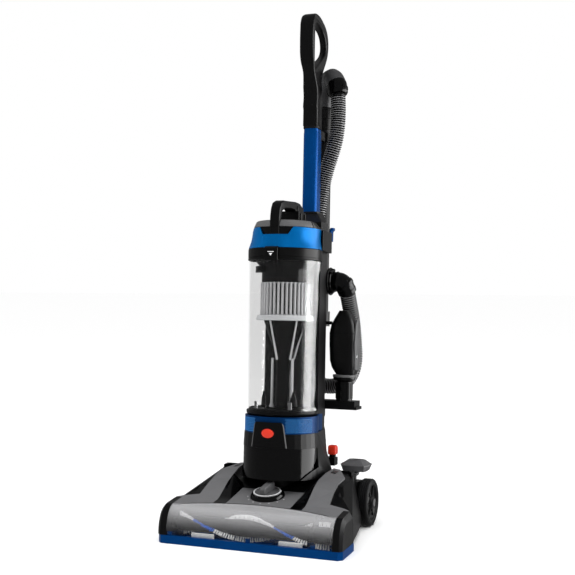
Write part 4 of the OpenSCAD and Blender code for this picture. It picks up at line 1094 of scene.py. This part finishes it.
# The sunken deck between the arms, and the slopes that rise from it
DECK_RISE = 12.3 / 72
DECK_HALF = 66.9
SLOPE_TOP_X = 91.7
DIAL_Y = 110
DIAL_Z = 83.6
DIAL_TILT = math.atan(12 / 70)
# Height of the arms' inner top edge at each y
ARM_EDGE = [(50, 75.2), (71, 77.4), (79, 79.7), (86, 83.2), (126, 104.6), (155, 114.6)]


def bow(x):
    """Depth of the window's bowed rear edge at x."""
    return max(ARCH_DEPTH + 0.5, BOW_DEPTH - (BOW_DEPTH - ARCH_DEPTH) * (x / BOW_HALF) ** 2)


def deck_height(y):
    """Top of the cover band, then of the sunken deck behind it."""
    return 77 - (71 - y) * 0.12 if y < 71 else 76.9 + (y - 70) * DECK_RISE


def make_window():
    """Smoked window: a quarter-round front, then a thin flange with a bowed rear edge."""
    low, high = local_box("nozzle_window", FOOT)
    columns, steps, thick = 72, 14, 2.6
    foot_z, crown_z, front_y = low.z, 71.9, low.y
    rings = []
    for i in range(columns + 1):
        x = low.x + (high.x - low.x) * i / columns
        sides = []
        for inset in (0, thick):
            section = []
            for k in range(steps + 1):
                a = math.pi / 2 * k / steps
                section.append((x, ARCH_DEPTH - (ARCH_DEPTH - front_y - inset) * math.cos(a),
                                foot_z + (crown_z - foot_z - inset) * math.sin(a)))
            for share in (0.35, 0.7, 1.0):
                y = ARCH_DEPTH + (bow(x) - ARCH_DEPTH) * share
                section.append((x, y, crown_z - inset + 0.12 * (y - ARCH_DEPTH)))
            sides.append(section)
        rings.append(sides[0] + sides[1][::-1])
    skin("nozzle_window", shell(rings), "foot", "clear_smoke", at=FOOT, angle=40, edge=(0.0006, 2, 50))
    # Dark seal along the bowed edge
    half = 152
    seal = []
    for i in range(columns + 1):
        x = -half + 2 * half * i / columns
        y = bow(x) + 0.2
        z = deck_height(y)
        seal.append([(x, y, z - 1), (x, y, z + 0.12), (x, y + 1.1, z + 0.24), (x, y + 1.1, z - 1)])
    piece("window_seal", shell(seal), "foot", "black_satin", at=FOOT)


# The roll's axis (y, z), its tufts, and the place x where a tuft row faces the front
BRUSH_AXIS = (38, 34)
ROLL_R = 15
TUFT_TIP = 25.6
TUFT_STEP = 4.4
HELIX_X = -88
HELIX_LENGTH = 330
FIRST_TUFT_X = -152
TUFTS = 70
FIBRES = 9
# Tufts within this reach of a place just before the front one are blue
BLUE_BEFORE = 9
BLUE_REACH = 20
# The belt's groove has no tufts
BELT_X = 120
BELT_GAP = 8


def on_roll(x, r, angle):
    """Point on the brush roll; an angle of 0 faces the front and grows towards the top."""
    return Vector((x, BRUSH_AXIS[0] - r * math.cos(angle), BRUSH_AXIS[1] + r * math.sin(angle)))


def helix(x):
    """Angle of the first tuft row at x."""
    return -TAU * (x - HELIX_X) / HELIX_LENGTH


def make_brush():
    """Roll with a rib under each helix, and dense tufts that are blue where they face the front."""
    sides, rib_half = 72, 3
    plain = [(-169, 5), (-162, 5), (-162, 8), (-158, 8)]
    ribbed = [(-158 + 3.9 * k, ROLL_R) for k in range(71)]
    groove = [(115, 12), (125, 12)]
    rear = [(125, ROLL_R), (141, ROLL_R), (158, ROLL_R), (158, 8), (162, 8), (162, 5), (169, 5)]
    rings = []
    for x, r in plain + ribbed + groove + rear:
        rings.append([])
        for k in range(sides):
            on_rib = r == ROLL_R and min(k % 36, 36 - k % 36) < rib_half
            rings[-1].append(on_roll(x, r + (1.3 if on_rib else 0), helix(x) + TAU * k / sides))
    skin("brush_core", shell(rings), "brush_roll", "charcoal", at=FOOT, angle=50)

    dice = random.Random(7)
    tufts = {"bristle_white": [], "blue_bristle": []}
    for start, blue_x in ((0, HELIX_X), (math.pi, HELIX_X + HELIX_LENGTH / 2)):
        for k in range(TUFTS):
            x = FIRST_TUFT_X + TUFT_STEP * k
            if abs(x - BELT_X) < BELT_GAP:
                continue
            colour = "blue_bristle" if abs(x - blue_x + BLUE_BEFORE) < BLUE_REACH else "bristle_white"
            for _ in range(FIBRES):
                angle = helix(x) + start + dice.uniform(-0.06, 0.06)
                foot = on_roll(x + dice.uniform(-1.2, 1.2), ROLL_R + 0.6, angle)
                tip = on_roll(x + dice.uniform(-1.9, 1.9), TUFT_TIP + dice.uniform(-0.5, 0.3),
                              angle + dice.uniform(-0.05, 0.05))
                tufts[colour].append(sweep([foot, tip], lambda i: (0.75, 0.6)[i], 4, Vector((1, 0, 0))))
    for colour, fibres in tufts.items():
        brush = piece(f"brush_{colour}", join(*fibres), "brush_roll", "bristle_white", at=FOOT,
                      material=colour)
        if colour == "bristle_white":
            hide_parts("brush_bristles")


def make_deck_details():
    """Black slopes beside the deck, dots round the dial and pads in the arms' slots."""
    slope = []
    for y in (52, 60, 71, 79, 86, 100, 113, 126, 140, 155):
        outer, inner = between(ARM_EDGE, y) + 0.1, deck_height(y) + 0.35
        front = y if y > 52 else bow(DECK_HALF) + 1.4
        slope.append([(DECK_HALF, front, inner), (SLOPE_TOP_X, y, outer), (SLOPE_TOP_X, y, outer - 3),
                      (DECK_HALF, front, inner - 3)])
    side = shell(slope)
    piece("deck_slopes", join(side, mirrored(side)), "foot", "black_gloss", at=FOOT, angle=60)

    dots_r = 39.5
    dot = disc_lathe([(1.2, -0.4), (1.2, 0.15)], 20)
    dots = []
    for degrees in range(-75, 76, 25):
        a = math.radians(degrees)
        y = DIAL_Y - dots_r * math.cos(a)
        dots.append(moved(dot, shift(dots_r * math.sin(a), y, deck_height(y))))
    piece("dial_dots", join(*dots), "foot", "bristle_white", at=FOOT)

    pad = block((103, 205, 114), (111.4, 220.5, 121.4))
    piece("arm_slot_pads", join(pad, mirrored(pad)), "foot", "charcoal", at=FOOT, material="grip_grey",
          edge=(0.0008, 2))


FAIRING_FOOT = 14


def make_fairings():
    """Flat fairing between the nozzle's corner and the wheel, in two panels with a seam."""
    top = [(184.5, 80, 66.5), (184.5, 82.6, 66.5), (143.6, 126, 96), (143.6, 226, 107), (140, 80, 66.5),
           (140, 226, 107)]
    seam = [(x, y, FAIRING_FOOT + (z - FAIRING_FOOT) * 0.68) for x, y, z in top]
    foot = [(x + (17 if y == 226 and x > 141 else 0), y, FAIRING_FOOT) for x, y, _ in top]
    panels = [hull(seam + foot), hull([(x, y, z + 0.7) for x, y, z in seam] + top)]
    fairing = join(*panels, *(mirrored(panel) for panel in panels))
    piece("side_fairings", fairing, "foot", "charcoal", at=FOOT, edge=(0.0009, 2))


def make_end_cap_bands():
    """Dark bevelled band round each end cap's outer edge."""
    outline = [(ARCH_DEPTH - ARCH_DEPTH * math.cos(math.radians(7.5 * k)),
                16.3 + 56 * math.sin(math.radians(7.5 * k))) for k in range(13)]
    outline += [(69.8, 75.8), (69.8, 73), (79, 69), (79, 16.3)]
    rings = []
    for x, scale in ((181.8, 1.004), (188.15, 0.866), (188.15, 0.80), (183, 0.9)):
        rings.append([(x, 36 + (y - 36) * scale, 16.3 + (z - 16) * scale) for y, z in outline])
    band = hoop(rings)
    piece("end_cap_bands", join(band, mirrored(band)), "foot", "charcoal", at=FOOT, angle=50,
          edge=(0.0005, 2, 40))


def make_dial():
    """Height dial: ribbed black bezel on the deck, and a grey disc with a raised rim and a ridge."""
    seat = FOOT @ shift(0, DIAL_Y, DIAL_Z) @ Matrix.Rotation(DIAL_TILT, 4, "X")
    profile = [(7.1, 0.3), (35, 0.3), (35, 1.6), (32.4, 6), (31, 7.5), (29.4, 7.5), (29, 6.6), (7.1, 6.6)]
    ribs = [moved(block((-0.7, 31.2, 1.2), (0.7, 34.4, 2.6)), turn(12 * k, "Z")) for k in range(30)]
    skin("dial_bezel", join(lathe(profile, 120), *ribs), "foot", "black_gloss", at=seat)
    profile = [(5.9, -18), (5.9, 7.9), (28.2, 7.9), (28.6, 8.8), (27.6, 10.2), (26.2, 10.5), (25, 10.3),
               (24.4, 9.6), (5, 9.6)]
    side = [(-20, 9), (-20.4, 19.5), (-17, 22.6), (8, 25.6), (15.5, 25), (20, 21.5), (21, 9)]
    ridge = moved(plate(side, 6.6, 1.8, resolution=3), turn(-10, "Z") @ SIDEWAYS)
    skin("height_dial", join(disc_lathe(profile, 120), ridge), "dial", "grey_light", at=seat, angle=45)
    rim = lathe([(25.2, 10.2), (27.8, 9.9), (27.6, 10.35), (26.2, 10.7), (25.1, 10.5)], 120)
    piece("dial_rim", rim, "dial", "grey_light", at=seat, material="skirt_white")


PEDAL_AT = (129, 294, 113)


def make_release_pedal():
    """Adds a raised tread, a dark notch and a seam band to the CAD pedal."""
    seat = FOOT @ shift(*PEDAL_AT)
    tread = plate(round_rect(27, 20, 5), 0.9, 0.5, [round_rect(15, 9, 2)])
    piece("pedal_tread", moved(tread, shift(0, 0, 21.2)), "foot_pedal", "grey_light", at=seat,
          edge=(0.0003, 2, 40))
    notch = plate(round_rect(15.4, 9.4, 2), 0.4, 0.2)
    piece("pedal_notch", moved(notch, shift(0, 1, 20.9)), "foot_pedal", "grey_light", at=seat,
          material="black_satin")
    outline = [(-24, -24), (24, -24), (31, -10), (31, 14), (20, 25), (-20, 25), (-31, 14), (-31, -10)]
    rings = [[(x * scale, y * scale, z) for x, y in outline]
             for z, scale in ((11.2, 0.985), (11.2, 1.012), (13, 1.005), (13, 0.97))]
    piece("pedal_seam", hoop(rings), "foot_pedal", "grey_light", at=seat, material="tool_grey")


# Middle of the right wheel's inner side and of the right roller's
WHEEL_AT = (146, 284, 49)
ROLLER_AT = (49, 99, 10)


def make_wheels():
    """Grooved tyres, dished hubs with spokes, and the round guards on their inner sides."""
    tread_r = WHEEL_AT[2]
    tyre = [(41, 0.5), (45, 0.5), (47.6, 1.6), (tread_r, 4)]
    for h in (7, 11, 15):
        tyre += [(tread_r, h), (tread_r - 1, h + 0.6), (tread_r - 1, h + 1.8), (tread_r, h + 2.4)]
    tyre += [(tread_r, 19.5), (47.4, 22), (45, 23.5), (41, 23.5)]
    hub = [(5.1, 1), (13, 1), (13, 9), (33, 9), (36, 1.5), (40.8, 1.5), (40.8, 22.4), (39, 22.9), (37, 22.4),
           (35.6, 20), (33, 17.4), (24, 17), (22.6, 18.2), (21, 17.2), (15, 18.4), (13.4, 21.6), (11.6, 23.8),
           (5.1, 23.8)]
    spokes = [moved(block((-1.4, 14, 16), (1.4, 35, 20)), turn(60 * k, "Z")) for k in range(6)]
    guard = [(30, -2.4), (43.5, -2.4), (44.5, -1.6), (44.5, -0.6), (41, -0.5), (30, -0.5)]
    for side, sign in SIDES.items():
        axle = FOOT @ shift(sign * WHEEL_AT[0], *WHEEL_AT[1:]) @ turn(90 * sign, "Y")
        for name, part, material in (("tyre", lathe(tyre, 128), "tyre_rubber"),
                                     ("hub", join(lathe(hub, 96), *spokes), "black_satin")):
            skin(f"{name}_{side}", part, f"wheel_{side}", material, at=axle)
        piece(f"wheel_guard_{side}", lathe(guard, 96), "foot", "black_satin", at=axle, edge=(0.0003, 2, 40))


def make_rollers():
    """Small grooved rollers under the nozzle."""
    profile = [(2.6, 0), (8.6, 0), (10, 1.4), (10, 7), (9.2, 7.8), (9.2, 11.2), (10, 12), (10, 17.6),
               (8.6, 19), (2.6, 19)]
    for side, sign in SIDES.items():
        axle = FOOT @ shift(sign * ROLLER_AT[0], *ROLLER_AT[1:]) @ turn(90 * sign, "Y")
        skin(f"roller_{side}", lathe(profile, 64), f"roller_{side}", "charcoal", at=axle)


# ------------------------------------------------------------------ CAD nodes that stay as they are

KEPT_BEVELS = {"foot_chassis": 0.0012, "foot_cover": 0.001, "end_cap_left": 0.0015, "end_cap_right": 0.0015,
               "nozzle_base": 0.0012, "rear_spine": 0.002, "release_pedal": 0.0014, "felt_strips": 0.0008,
               "motor_housing": 0.0012, "wand_clips": 0.0008, "tool_bracket": 0.001, "suction_duct": 0.001}


def dress_kept_nodes():
    """Gives each CAD node its material, from the slot that the record names."""
    slots = {item["node"]: item["material_slot"] for item in frame["record"]["subparts"]}
    for name, obj in frame["nodes"].items():
        obj.data.materials.clear()
        obj.data.materials.append(MATERIALS[slots[name]])
        if name in KEPT_BEVELS:
            bevel(obj, KEPT_BEVELS[name])


make_camera()
make_hose()
make_studio()
make_grip()
make_handle_tube()
make_wand()
make_elbow()
make_lid_band()
make_lid_top()
make_carry_handle()
make_tank_shell()
make_tank_button()
make_separator()
make_funnel()
make_spine_details()
make_hose_port()
make_cord_hooks()
make_hand_tool()
make_exhaust_band()
make_recess_panel()
make_badge()
make_power_pedal()
make_window()
make_brush()
make_deck_details()
make_fairings()
make_end_cap_bands()
make_dial()
make_release_pedal()
make_wheels()
make_rollers()
dress_kept_nodes()
